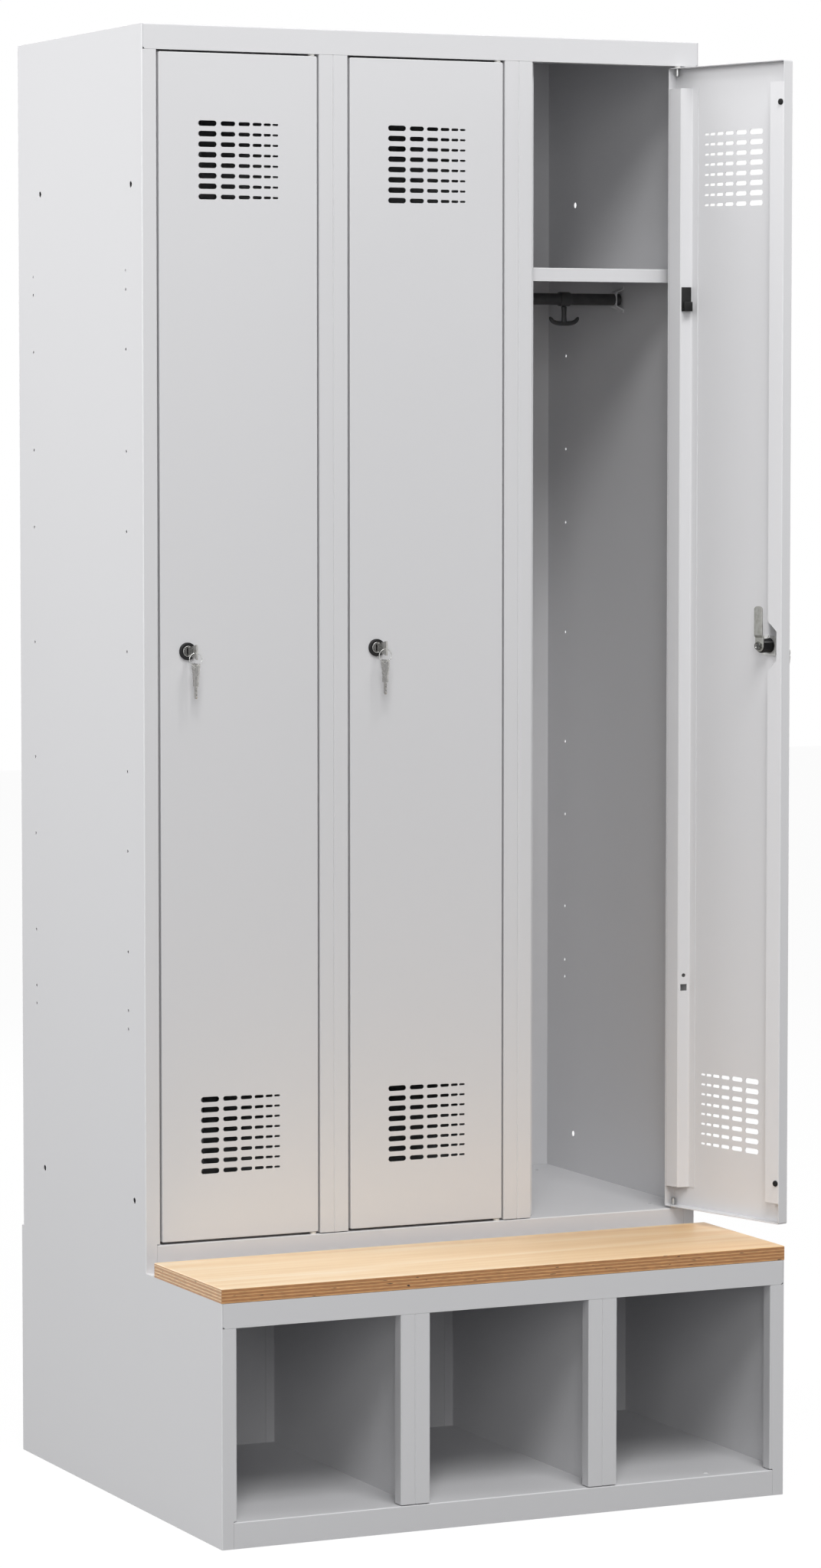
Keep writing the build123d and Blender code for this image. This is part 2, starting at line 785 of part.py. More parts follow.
with BuildPart() as lock_cam:
    cam_root = cam_width / 2
    cam_back = plug_end + cam_crank + cam_sheet
    with BuildSketch(Plane.YZ.offset(lock_x - cam_root)):
        outline = [
            (plug_end, lock_z - cam_root),
            (plug_end, lock_z + cam_crank_start),
            (plug_end + cam_crank, lock_z + cam_crank_start + cam_crank_run),
            (plug_end + cam_crank, lock_z + cam_reach),
        ]
        add(folded_sheet(outline, Side.RIGHT, cam_sheet))
    extrude(amount=cam_width)
    with BuildSketch(Plane.XZ.offset(-cam_back)) as cam_outline:
        with Locations((lock_x, lock_z - cam_root)):
            Rectangle(cam_width, cam_root + cam_reach, align=(Align.CENTER, Align.MIN))
        chamfer(cam_outline.vertices(), length=cam_width * cam_corner_share)
    extrude(amount=cam_back - plug_end, mode=Mode.INTERSECT)
    with BuildSketch(Plane.XZ.offset(-plug_end - cam_sheet - cam_screw_head)):
        with Locations((lock_x, lock_z)):
            RegularPolygon(cam_screw_radius, side_count=screw_sides)
    extrude(amount=cam_screw_head)


# Keys: the shoulder is at the origin, the blade runs along +X and the head along -X
with BuildPart() as plain_key:
    half_blade = key_blade_height / 2
    half_shoulder = key_shoulder_width / 2
    half_head = key_head_width / 2
    teeth = []
    tooth_start = key_blade_length - key_tip - key_tooth_pitch * len(key_tooth_depths)
    for depth in key_tooth_depths:
        teeth.append((tooth_start, -half_blade))
        teeth.append((tooth_start + key_tooth_pitch / 2, depth - half_blade))
        tooth_start += key_tooth_pitch
    with BuildSketch(Plane.XY.offset(-key_thickness / 2)) as key_outline:
        with BuildLine():
            Polyline(
                (0, -half_shoulder),
                (0, half_shoulder),
                (-key_head_length, half_head),
                (-key_head_length, -half_head),
                close=True,
            )
        make_face()
        chamfer(key_outline.vertices(), length=key_corner_cut)
        with BuildLine():
            Polyline(
                (-key_corner_cut, -half_blade),
                *teeth,
                (key_blade_length - key_tip, -half_blade),
                (key_blade_length, 0),
                (key_blade_length - key_tip, half_blade),
                (-key_corner_cut, half_blade),
                close=True,
            )
        make_face()
        with Locations(Location((key_hole_inset - key_head_length, 0, 0), (0, 0, 180 / pin_sides))):
            add(snug_bore(key_hole_radius, pin_sides), mode=Mode.SUBTRACT)
    extrude(amount=key_thickness)

key_shoulder_y = escutcheon_front - key_shoulder_gap
key_hole_y = key_shoulder_y - key_head_length + key_hole_inset
ring_rest = key_hole_radius - ring_wire - ring_rest_gap
ring_z = lock_z - ring_rest - ring_radius
spare_hole_z = ring_z - ring_radius - ring_rest
spare_shoulder_z = spare_hole_z + key_hole_inset - key_head_length

with BuildPart() as key:
    key_plane = Plane(origin=(lock_x, key_shoulder_y, lock_z), x_dir=(0, 1, 0), z_dir=(1, 0, 0))
    add(key_plane.location * plain_key.part)

with BuildPart() as spare_key:
    key_plane = Plane(origin=(lock_x, key_hole_y, spare_shoulder_z), x_dir=(0, 0, -1), z_dir=(1, 0, 0))
    add(key_plane.location * plain_key.part)

with BuildPart() as key_ring:
    with BuildSketch(Plane.XZ.offset(-key_hole_y - ring_wire)):
        with Locations(Location((lock_x, ring_z, 0), (0, 0, 180 / ring_sides))):
            add(snug_bore(ring_radius + ring_wire, ring_sides))
            add(snug_bore(ring_radius - ring_wire, ring_sides), mode=Mode.SUBTRACT)
    extrude(amount=2 * ring_wire)

# One set of door pieces in each column
door_pieces = {
    "door_panel": door_panel,
    "door_stiffener": door_stiffener,
    "coat_hook": coat_hook,
    "door_buffers": door_buffers,
    "hinge_pins": hinge_pins,
    "lock_housing": lock_housing,
    "lock_clip": lock_clip,
    "lock_plug": lock_plug,
    "lock_cam": lock_cam,
    "key": key,
    "key_ring": key_ring,
    "spare_key": spare_key,
}
for number, (hinge_x, angle) in enumerate(zip(hinge_lines, door_open_angles), start=1):
    door_place = Location((hinge_x, hinge_y, door_bottom), (0, 0, angle))
    for name, piece in door_pieces.items():
        save(door_place * piece.part, f"{name}_{number}")
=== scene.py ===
"""Looks of a sheet-steel cloakroom locker that stands on a base with a plywood seat.

Metres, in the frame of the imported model: +X to the right, +Y to the back, +Z up from the floor.
"""

from __future__ import annotations

import json
import logging
import math
from collections.abc import Callable, Mapping, Sequence
from dataclasses import dataclass
from enum import Enum

import bmesh
import bpy
import numpy as np
from mathutils import Matrix, Vector
from mathutils.geometry import delaunay_2d_cdt

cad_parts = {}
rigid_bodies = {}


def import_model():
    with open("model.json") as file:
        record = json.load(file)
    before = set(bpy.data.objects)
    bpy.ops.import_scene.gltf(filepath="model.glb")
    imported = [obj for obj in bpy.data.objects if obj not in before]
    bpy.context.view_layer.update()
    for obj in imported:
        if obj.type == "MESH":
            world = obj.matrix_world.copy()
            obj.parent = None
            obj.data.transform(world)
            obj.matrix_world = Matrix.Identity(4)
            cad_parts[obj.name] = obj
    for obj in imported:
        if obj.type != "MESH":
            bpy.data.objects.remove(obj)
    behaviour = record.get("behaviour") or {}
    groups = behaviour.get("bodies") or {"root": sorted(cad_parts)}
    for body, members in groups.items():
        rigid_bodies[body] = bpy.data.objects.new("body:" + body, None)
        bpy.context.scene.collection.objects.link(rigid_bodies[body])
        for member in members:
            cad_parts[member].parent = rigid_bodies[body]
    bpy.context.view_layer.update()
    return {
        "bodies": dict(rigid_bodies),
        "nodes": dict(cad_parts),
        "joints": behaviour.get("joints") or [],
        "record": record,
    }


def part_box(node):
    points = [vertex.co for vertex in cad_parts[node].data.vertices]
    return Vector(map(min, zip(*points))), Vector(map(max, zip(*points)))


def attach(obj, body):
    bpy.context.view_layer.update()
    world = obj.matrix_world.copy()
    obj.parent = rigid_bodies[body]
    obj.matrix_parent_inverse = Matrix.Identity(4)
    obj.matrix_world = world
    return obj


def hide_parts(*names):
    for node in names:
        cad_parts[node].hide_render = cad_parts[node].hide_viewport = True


LOG = logging.getLogger("locker")
MM = 0.001
DOOR_NUMBERS = (1, 2, 3)
# Output kind of the triangulation that fills the outline and leaves its holes open.
HOLES_LEFT_OPEN = 5
FILL_TOLERANCE = 1e-6
MERGE_DISTANCE = 0.001 * MM

Placing = Callable[[np.ndarray], np.ndarray]


class Slot(Enum):
    """Material slots of the record."""

    POWDER_COAT = "powder_coat"
    PLYWOOD = "plywood"
    BLACK_PLASTIC = "black_plastic"
    DARK_PLASTIC = "dark_plastic"
    BLACK_RUBBER = "black_rubber"
    WHITE_NYLON = "white_nylon"
    ZINC_STEEL = "zinc_steel"
    NICKEL_STEEL = "nickel_steel"


def linear(hex_colour: str) -> tuple[float, float, float, float]:
    """Turn an sRGB hex colour into a linear one.

    Args:
        hex_colour: Colour written as "#RRGGBB".

    Returns:
        Linear red, green and blue, and an alpha of 1.
    """
    channels = np.array([int(hex_colour[place : place + 2], 16) for place in (1, 3, 5)]) / 255
    bent = ((channels + 0.055) / 1.055) ** 2.4
    red, green, blue = np.where(channels <= 0.04045, channels / 12.92, bent)
    return float(red), float(green), float(blue), 1.0


def per_metre(size_mm: float) -> float:
    """Scale of a pattern whose real size is given in millimetres."""
    return 1 / (size_mm * MM)


def add_node(
    tree: bpy.types.NodeTree,
    kind: str,
    inputs: Mapping[str | int, object] | None = None,
    **settings: object,
) -> bpy.types.Node:
    """Add a shader node, set its options and fill or link its inputs.

    Args:
        tree: Node tree of the material.
        kind: Blender's name of the node without its "ShaderNode" prefix.
        inputs: Input name or place, and a value or an output socket to link.
        settings: Options of the node.

    Returns:
        The new node.
    """
    made = tree.nodes.new("ShaderNode" + kind)
    for option, value in settings.items():
        setattr(made, option, value)
    for key, value in (inputs or {}).items():
        if isinstance(value, bpy.types.NodeSocket):
            tree.links.new(value, made.inputs[key])
        else:
            made.inputs[key].default_value = value
    return made


def set_stops(ramp: bpy.types.Node, stops: Sequence[tuple[float, str]]) -> bpy.types.Node:
    """Give a colour ramp its stops.

    Args:
        ramp: Colour ramp node with its two first stops.
        stops: Places from 0 to 1 and hex colours, in rising order.

    Returns:
        The same node.
    """
    elements = ramp.color_ramp.elements
    while len(elements) < len(stops):
        elements.new(0.5)
    for element, (place, colour) in zip(elements, stops):
        element.position = place
        element.color = linear(colour)
    return ramp


@dataclass(frozen=True)
class Finish:
    """A surface finish with one main colour."""

    name: str
    colour: str
    roughness: float

    def start(self) -> tuple[bpy.types.NodeTree, bpy.types.Node, bpy.types.NodeSocket]:
        """Make the material with its shader.

        Returns:
            The node tree, the shader and the Object coordinates.
        """
        made = bpy.data.materials.new(self.name)
        made.use_nodes = True
        tree = made.node_tree
        tree.nodes.clear()
        surface = {"Base Color": linear(self.colour), "Roughness": self.roughness}
        shader = add_node(tree, "BsdfPrincipled", surface)
        add_node(tree, "OutputMaterial", {"Surface": shader.outputs["BSDF"]})
        return tree, shader, add_node(tree, "TexCoord").outputs["Object"]

    def dress(self) -> bpy.types.Material:
        """Return the finish's material, made on its first use."""
        if self.name not in bpy.data.materials:
            self.paint(*self.start())
        return bpy.data.materials[self.name]

    def paint(self, tree: bpy.types.NodeTree, shader: bpy.types.Node, place: bpy.types.NodeSocket) -> None:
        """Add the pattern of the finish to its shader.

        Args:
            tree: Node tree of the material.
            shader: The material's shader.
            place: Object coordinates in metres.
        """


@dataclass(frozen=True)
class PowderCoat(Finish):
    """Polyester powder coat, sprayed and baked on sheet steel.

    The eye sees one even satin grey, whose very fine orange peel softens the highlights.
    """

    gloss_mm: float = 260.0
    gloss_spread: float = 0.03
    peel_mm: float = 1.8
    peel_depth_mm: float = 0.012
    peel_strength: float = 0.5

    def paint(self, tree: bpy.types.NodeTree, shader: bpy.types.Node, place: bpy.types.NodeSocket) -> None:
        """Let the gloss drift a little and raise the orange peel, drawn coarser than real to show."""
        noise = {"Vector": place, "Scale": per_metre(self.gloss_mm), "Detail": 1.0}
        drift = add_node(tree, "TexNoise", noise).outputs["Fac"]
        spread = {"To Min": self.roughness - self.gloss_spread, "To Max": self.roughness + self.gloss_spread}
        rough = add_node(tree, "MapRange", {"Value": drift, **spread})
        tree.links.new(rough.outputs["Result"], shader.inputs["Roughness"])
        peel = add_node(tree, "TexNoise", {"Vector": place, "Scale": per_metre(self.peel_mm), "Detail": 1.0})
        raised = {
            "Height": peel.outputs["Fac"],
            "Distance": self.peel_depth_mm * MM,
            "Strength": self.peel_strength,
        }
        bump = add_node(tree, "Bump", raised)
        tree.links.new(bump.outputs["Normal"], shader.inputs["Normal"])


@dataclass(frozen=True)
class Plywood(Finish):
    """Lacquered beech plywood with its plies bare along the edges.

    The face shows straight pale grain with short darker flecks; the edges show light and dark
    plies in turn, paler across the board's ends, thin glue lines and a few small voids drawn in
    painted shade. Painted shade also darkens and warms the face towards its right end.
    """

    node: str = "bench_board"
    ply_count: int = 9
    face_light: str = "#EAD7BB"
    face_mid: str = "#E4C8A1"
    face_dark: str = "#DCBB91"
    fleck: str = "#CBA074"
    long_ply: str = "#CF9D69"
    cross_ply: str = "#B07A4B"
    end_long_ply: str = "#BF8A5B"
    end_cross_ply: str = "#E0BD90"
    # Painted shade: warm tint multiplied in along X between its start and end, darkening the right end.
    painted_shade: str = "#F7E9D5"
    painted_shade_start: float = -0.1
    painted_shade_end: float = 0.42
    glue: str = "#643A20"
    # Painted shade: colour of the small voids, dark as the shade in their hollows.
    void_shade: str = "#2A1709"
    grain_length_mm: float = 520.0
    grain_width_mm: float = 26.0
    grain_detail: float = 3.0
    grain_waver: float = 0.6
    grain_stops: tuple[float, float, float] = (0.28, 0.5, 0.72)
    fleck_length_mm: float = 9.0
    fleck_width_mm: float = 0.9
    fleck_range: tuple[float, float] = (0.6, 0.78)
    fleck_strength: float = 0.25
    edge_grain_mm: float = 14.0
    streak_range: tuple[float, float] = (0.3, 0.7)
    streak_light: tuple[float, float] = (0.7, 1.16)
    glue_share: float = 0.1
    glue_strength: float = 0.85
    void_shade_range: tuple[float, float] = (0.79, 0.82)
    facing_limit: float = 0.7
    pore_depth_mm: float = 0.03
    pore_strength: float = 0.5
    lacquer: float = 0.15
    lacquer_roughness: float = 0.3

    def stretched(
        self, tree: bpy.types.NodeTree, place: bpy.types.NodeSocket, sizes_mm: Sequence[float]
    ) -> bpy.types.NodeSocket:
        """Scale coordinates so that one unit is a grain's size along each axis.

        Args:
            tree: Node tree of the material.
            place: Coordinates in metres.
            sizes_mm: Grain sizes along X, Y and Z.

        Returns:
            The scaled coordinates.
        """
        scale = tuple(per_metre(size) for size in sizes_mm)
        return add_node(tree, "Mapping", {"Vector": place, "Scale": scale}).outputs["Vector"]

    def flecks(self, tree: bpy.types.NodeTree, place: bpy.types.NodeSocket) -> bpy.types.Node:
        """Noise of the short flecks and pores that lie along the grain.

        Args:
            tree: Node tree of the material.
            place: Coordinates in metres.

        Returns:
            The noise node.
        """
        sizes_mm = (self.fleck_length_mm, self.fleck_width_mm, self.fleck_width_mm)
        stretched = self.stretched(tree, place, sizes_mm)
        return add_node(tree, "TexNoise", {"Vector": stretched, "Scale": 1.0, "Detail": 2.0})

    def face(self, tree: bpy.types.NodeTree, place: bpy.types.NodeSocket) -> bpy.types.NodeSocket:
        """Colour of the sanded face: grain bands, darker flecks, and painted shade towards the right end.

        Args:
            tree: Node tree of the material.
            place: Coordinates in metres.

        Returns:
            The colour.
        """
        sizes_mm = (self.grain_length_mm, self.grain_width_mm, self.grain_width_mm)
        bands = add_node(
            tree,
            "TexNoise",
            {
                "Vector": self.stretched(tree, place, sizes_mm),
                "Scale": 1.0,
                "Detail": self.grain_detail,
                "Distortion": self.grain_waver,
            },
        )
        colours = (self.face_dark, self.face_mid, self.face_light)
        ramp = add_node(tree, "ValToRGB", {"Fac": bands.outputs["Fac"]})
        grain = set_stops(ramp, list(zip(self.grain_stops, colours)))
        specks = self.flecks(tree, place).outputs["Fac"]
        low, high = self.fleck_range
        amount = add_node(
            tree,
            "MapRange",
            {"Value": specks, "From Min": low, "From Max": high, "To Max": self.fleck_strength},
        )
        flecked = add_node(
            tree,
            "Mix",
            {"Factor": amount.outputs["Result"], "A": grain.outputs["Color"], "B": linear(self.fleck)},
            data_type="RGBA",
        )
        # Painted shade: the face darkens and warms towards its right end, standing in for light that falls
        # off there.
        across = add_node(tree, "SeparateXYZ", {"Vector": place}).outputs["X"]
        span = {"Value": across, "From Min": self.painted_shade_start, "From Max": self.painted_shade_end}
        painted_shade_share = add_node(tree, "MapRange", span)
        painted_shade_face = add_node(
            tree,
            "Mix",
            {"Factor": painted_shade_share.outputs["Result"], "A": flecked.outputs["Result"], "B": linear(self.painted_shade)},
            data_type="RGBA",
            blend_type="MULTIPLY",
        )
        return painted_shade_face.outputs["Result"]

    def painted_highlight(
        self, tree: bpy.types.NodeTree, place: bpy.types.NodeSocket, is_end: bpy.types.NodeSocket
    ) -> bpy.types.NodeSocket:
        """Colour of the edges: height over one ply's thickness gives each ply and its glue line.

        Args:
            tree: Node tree of the material.
            place: Coordinates in metres.
            is_end: One on the board's two ends and zero elsewhere.

        Returns:
            The colour.
        """
        low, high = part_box(self.node)
        ply = (high.z - low.z) / self.ply_count
        height = add_node(tree, "SeparateXYZ", {"Vector": place}).outputs["Z"]
        risen = add_node(tree, "Math", {0: height, 1: -low.z}, operation="ADD")
        plies = add_node(tree, "Math", {0: risen.outputs[0], 1: 1 / ply}, operation="MULTIPLY").outputs[0]
        whole = add_node(tree, "Math", {0: plies}, operation="FLOOR")
        parity = add_node(tree, "Math", {0: whole.outputs[0], 1: 2.0}, operation="MODULO")
        lying = self.stretched(tree, place, (self.edge_grain_mm, self.edge_grain_mm, self.fleck_width_mm))
        fibres = add_node(tree, "TexNoise", {"Vector": lying, "Scale": 1.0, "Detail": self.grain_detail})
        streaks = add_node(
            tree,
            "MapRange",
            {
                "Value": fibres.outputs["Fac"],
                "From Min": self.streak_range[0],
                "From Max": self.streak_range[1],
                "To Min": self.streak_light[0],
                "To Max": self.streak_light[1],
            },
        )
        front = add_node(
            tree,
            "Mix",
            {"Factor": parity.outputs[0], "A": linear(self.long_ply), "B": linear(self.cross_ply)},
            data_type="RGBA",
        )
        end = add_node(
            tree,
            "Mix",
            {"Factor": parity.outputs[0], "A": linear(self.end_long_ply), "B": linear(self.end_cross_ply)},
            data_type="RGBA",
        )
        layers = add_node(
            tree,
            "Mix",
            {"Factor": is_end, "A": front.outputs["Result"], "B": end.outputs["Result"]},
            data_type="RGBA",
        )
        streaked = add_node(
            tree,
            "Mix",
            {"Factor": 1.0, "A": layers.outputs["Result"], "B": streaks.outputs["Result"]},
            data_type="RGBA",
            blend_type="MULTIPLY",
        )
        off_line = add_node(tree, "Math", {0: plies, 1: 0.5}, operation="PINGPONG")
        line = add_node(
            tree,
            "MapRange",
            {
                "Value": off_line.outputs[0],
                "From Max": self.glue_share,
                "To Min": self.glue_strength,
                "To Max": 0.0,
            },
        )
        glued = add_node(
            tree,
            "Mix",
            {"Factor": line.outputs["Result"], "A": streaked.outputs["Result"], "B": linear(self.glue)},
            data_type="RGBA",
        )
        # Painted shade: small voids in the plies are drawn as dark patches that stand in for the shade in
        # them.
        by_ply = self.stretched(tree, place, (self.edge_grain_mm, self.edge_grain_mm, ply / MM))
        gaps = add_node(tree, "TexNoise", {"Vector": by_ply, "Scale": 1.0, "Detail": 0.0}).outputs["Fac"]
        start, full = self.void_shade_range
        hole = add_node(tree, "MapRange", {"Value": gaps, "From Min": start, "From Max": full})
        void_shaded = add_node(
            tree,
            "Mix",
            {"Factor": hole.outputs["Result"], "A": glued.outputs["Result"], "B": linear(self.void_shade)},
            data_type="RGBA",
        )
        return void_shaded.outputs["Result"]

    def paint(self, tree: bpy.types.NodeTree, shader: bpy.types.Node, place: bpy.types.NodeSocket) -> None:
        """Put the face on what looks up and the plies on what looks sideways."""
        normal = add_node(tree, "NewGeometry").outputs["Normal"]
        parts = add_node(tree, "SeparateXYZ", {"Vector": normal}).outputs
        is_face = add_node(tree, "Math", {0: parts["Z"], 1: self.facing_limit}, operation="GREATER_THAN")
        sideways = add_node(tree, "Math", {0: parts["X"]}, operation="ABSOLUTE").outputs[0]
        end = add_node(tree, "Math", {0: sideways, 1: self.facing_limit}, operation="GREATER_THAN")
        painted_highlight = self.painted_highlight(tree, place, end.outputs[0])
        colour = add_node(
            tree,
            "Mix",
            {"Factor": is_face.outputs[0], "A": painted_highlight, "B": self.face(tree, place)},
            data_type="RGBA",
        )
        tree.links.new(colour.outputs["Result"], shader.inputs["Base Color"])
        pores = self.flecks(tree, place).outputs["Fac"]
        raised = {"Height": pores, "Distance": self.pore_depth_mm * MM, "Strength": self.pore_strength}
        bump = add_node(tree, "Bump", raised)
        tree.links.new(bump.outputs["Normal"], shader.inputs["Normal"])
        shader.inputs["Coat Weight"].default_value = self.lacquer
        shader.inputs["Coat Roughness"].default_value = self.lacquer_roughness


@dataclass(frozen=True)
class PlatedMetal(Finish):
    """Zinc or nickel plate on stamped steel, electroplated over the drawn sheet or wire.

    The eye sees a bright grey with small dull clouds and fine lines in the rolling direction.
    """

    dull: str = "#9A9B9C"
    cloud_mm: float = 7.0
    cloud_stops: tuple[float, float] = (0.3, 0.6)
    duller: float = 0.12
    glossier: float = 0.08
    line_mm: float = 0.5
    line_depth_mm: float = 0.02
    line_strength: float = 0.4

    def paint(self, tree: bpy.types.NodeTree, shader: bpy.types.Node, place: bpy.types.NodeSocket) -> None:
        """Cloud the plate's colour and roughness, and scratch it lightly in the rolling direction."""
        shader.inputs["Metallic"].default_value = 1.0
        noise = {"Vector": place, "Scale": per_metre(self.cloud_mm), "Detail": 3.0}
        clouds = add_node(tree, "TexNoise", noise).outputs["Fac"]
        ramp = add_node(tree, "ValToRGB", {"Fac": clouds})
        colour = set_stops(ramp, list(zip(self.cloud_stops, (self.dull, self.colour))))
        tree.links.new(colour.outputs["Color"], shader.inputs["Base Color"])
        spread = {"To Min": self.roughness + self.duller, "To Max": self.roughness - self.glossier}
        rough = add_node(tree, "MapRange", {"Value": clouds, **spread})
        tree.links.new(rough.outputs["Result"], shader.inputs["Roughness"])
        scale = (per_metre(self.line_mm), per_metre(self.line_mm), per_metre(self.cloud_mm))
        lines = add_node(tree, "Mapping", {"Vector": place, "Scale": scale})
        drawn = add_node(tree, "TexNoise", {"Vector": lines.outputs["Vector"], "Scale": 1.0, "Detail": 1.0})
        raised = {
            "Height": drawn.outputs["Fac"],
            "Distance": self.line_depth_mm * MM,
            "Strength": self.line_strength,
        }
        bump = add_node(tree, "Bump", raised)
        tree.links.new(bump.outputs["Normal"], shader.inputs["Normal"])


@dataclass(frozen=True)
class Moulded(Finish):
    """Plastic or rubber from a spark-eroded mould.

    The eye sees one colour with a fine grain, a weak sheen and slightly uneven gloss.
    """

    worn: str = "#303030"
    worn_stops: tuple[float, float] = (0.4, 0.85)
    grain_mm: float = 0.7
    grain_depth_mm: float = 0.03
    grain_strength: float = 0.5
    gloss_mm: float = 18.0
    gloss_spread: float = 0.06
    gloss_level: float = 0.25

    def paint(self, tree: bpy.types.NodeTree, shader: bpy.types.Node, place: bpy.types.NodeSocket) -> None:
        """Grain the surface and let colour and gloss drift a little."""
        shader.inputs["Specular IOR Level"].default_value = self.gloss_level
        noise = {"Vector": place, "Scale": per_metre(self.gloss_mm), "Detail": 2.0}
        drift = add_node(tree, "TexNoise", noise).outputs["Fac"]
        ramp = add_node(tree, "ValToRGB", {"Fac": drift})
        colour = set_stops(ramp, list(zip(self.worn_stops, (self.colour, self.worn))))
        tree.links.new(colour.outputs["Color"], shader.inputs["Base Color"])
        spread = {"To Min": self.roughness - self.gloss_spread, "To Max": self.roughness + self.gloss_spread}
        rough = add_node(tree, "MapRange", {"Value": drift, **spread})
        tree.links.new(rough.outputs["Result"], shader.inputs["Roughness"])
        noise = {"Vector": place, "Scale": per_metre(self.grain_mm), "Detail": 2.0}
        grain = add_node(tree, "TexNoise", noise)
        raised = {
            "Height": grain.outputs["Fac"],
            "Distance": self.grain_depth_mm * MM,
            "Strength": self.grain_strength,
        }
        bump = add_node(tree, "Bump", raised)
        tree.links.new(bump.outputs["Normal"], shader.inputs["Normal"])


FINISHES: dict[Slot, Finish] = {
    Slot.POWDER_COAT: PowderCoat("light grey powder coat", "#D2D2D4", 0.5),
    Slot.PLYWOOD: Plywood("lacquered beech plywood", "#E4C8A1", 0.42),
    Slot.BLACK_PLASTIC: Moulded("black moulded nylon", "#101011", 0.36, worn="#1C1C1D"),
    Slot.DARK_PLASTIC: Moulded("dark grey extruded plastic", "#3B3B3C", 0.45, worn="#4A4A4B"),
    Slot.BLACK_RUBBER: Moulded("black moulded rubber", "#0C0C0C", 0.7, worn="#161616"),
    Slot.WHITE_NYLON: Moulded("white turned nylon", "#E9E8E3", 0.42, worn="#DCDBD5"),
    Slot.ZINC_STEEL: PlatedMetal("zinc-plated steel", "#B4B5B4", 0.36, dull="#8E8F8F"),
    Slot.NICKEL_STEEL: PlatedMetal("nickel-plated steel", "#B6B5B2", 0.26, dull="#9E9D9A", cloud_mm=4.0),
}
# Finishes of single pieces whose plate differs from that of their slot, and of two whose metal is painted
# dark for its reflection.
BLANKED_ZINC = PlatedMetal("matt zinc on blanked steel", "#A6A6A2", 0.52, dull="#94948F", line_depth_mm=0.01)
SPRING_WIRE = PlatedMetal("bright drawn spring wire", "#C4C4C2", 0.2, dull="#9FA09F", cloud_mm=3.0)
# Painted reflection: the plug's nickel is painted dark, standing in for the dark surroundings that its bright
# face reflects.
LOCK_FACE = PlatedMetal("satin nickel on brass painted dark as reflection", "#6A6A69", 0.33, dull="#505050", cloud_mm=3.0)
SPRING_ZINC = PlatedMetal(
    "pale matt zinc on spring steel", "#D6D6D4", 0.6, dull="#C0C0BE", line_depth_mm=0.01
)
# Painted reflection: the screw's bright zinc is painted dark, standing in for the dark surroundings that its
# head reflects.
SCREW_ZINC = PlatedMetal("bright zinc on a hexagon screw painted dark as reflection", "#80807E", 0.2, dull="#5C5C5B", cloud_mm=3.0)


def grid_mesh(grid: np.ndarray, wrap_rows: bool, wrap_columns: bool) -> bpy.types.Mesh:
    """Turn a grid of points into a mesh of quads.

    Args:
        grid: Points, shaped rows by columns by 3.
        wrap_rows: Whether the last row joins the first.
        wrap_columns: Whether the last column joins the first.

    Returns:
        The mesh, whose faces point outwards where rows run round the surface's own right hand.
    """
    rows, columns, _ = grid.shape
    row = np.arange(rows if wrap_rows else rows - 1)[:, None]
    column = np.arange(columns if wrap_columns else columns - 1)[None, :]
    next_row, next_column = (row + 1) % rows, (column + 1) % columns
    corners = [row * columns + column, next_row * columns + column]
    corners += [next_row * columns + next_column, row * columns + next_column]
    cells = [np.broadcast_to(corner, corners[0].shape) for corner in corners]
    quads = np.stack(cells, axis=-1).reshape(-1, 4)
    made = bpy.data.meshes.new("grid")
    made.vertices.add(rows * columns)
    made.vertices.foreach_set("co", grid.reshape(-1))
    made.loops.add(quads.size)
    made.loops.foreach_set("vertex_index", quads.reshape(-1))
    made.polygons.add(len(quads))
    made.polygons.foreach_set("loop_start", np.arange(len(quads)) * 4)
    made.update(calc_edges=True)
    return made


def tube(
    centres: np.ndarray, sideways: np.ndarray, widths: np.ndarray, heights: np.ndarray, sides: int
) -> np.ndarray:
    """Carry an ellipse along a path.

    Each point is the centre plus cos(a) times half the width sideways plus sin(a) times half
    the height along the normal, which is the path's direction crossed with the sideways one.

    Args:
        centres: Points of the path, shaped n by 3.
        sideways: Unit vector across the path at each point, n by 3 or 3.
        widths: Full width at each point.
        heights: Full height at each point.
        sides: Points round the ellipse.

    Returns:
        The grid of points, n by sides by 3.
    """
    along = np.gradient(centres, axis=0)
    along /= np.linalg.norm(along, axis=1, keepdims=True)
    across = np.broadcast_to(sideways, centres.shape)
    normal = np.cross(along, across)
    angle = np.linspace(0, 2 * math.pi, sides, endpoint=False)[None, :, None]
    half_width, half_height = widths[:, None, None] / 2, heights[:, None, None] / 2
    round_path = np.cos(angle) * half_width * across[:, None] + np.sin(angle) * half_height * normal[:, None]
    return centres[:, None] + round_path


def turned(profile: np.ndarray, sides: int) -> np.ndarray:
    """Turn a profile round an axis.

    Each point is the radius times the cosine and sine of the angle across the axis, and the
    profile's second value along it.

    Args:
        profile: Radius and place along the axis, n by 2.
        sides: Points round the axis.

    Returns:
        The grid of points, sides by n by 3, with the axis last.
    """
    angle = np.linspace(0, 2 * math.pi, sides, endpoint=False)[:, None]
    radius, along = profile[None, :, 0], profile[None, :, 1] + 0 * angle
    return np.stack([radius * np.cos(angle), radius * np.sin(angle), along], axis=-1)


def arc(
    centre: Sequence[float], radius: float, start_degrees: float, end_degrees: float, steps: int
) -> np.ndarray:
    """Arc of a profile: centre plus radius times cosine and sine of the angle.

    Args:
        centre: Centre of the arc.
        radius: Its radius.
        start_degrees: Angle of its first point.
        end_degrees: Angle of its last point.
        steps: Number of points.

    Returns:
        The points, steps by 2.
    """
    angle = np.radians(np.linspace(start_degrees, end_degrees, steps))
    return np.asarray(centre) + radius * np.stack([np.cos(angle), np.sin(angle)], axis=1)


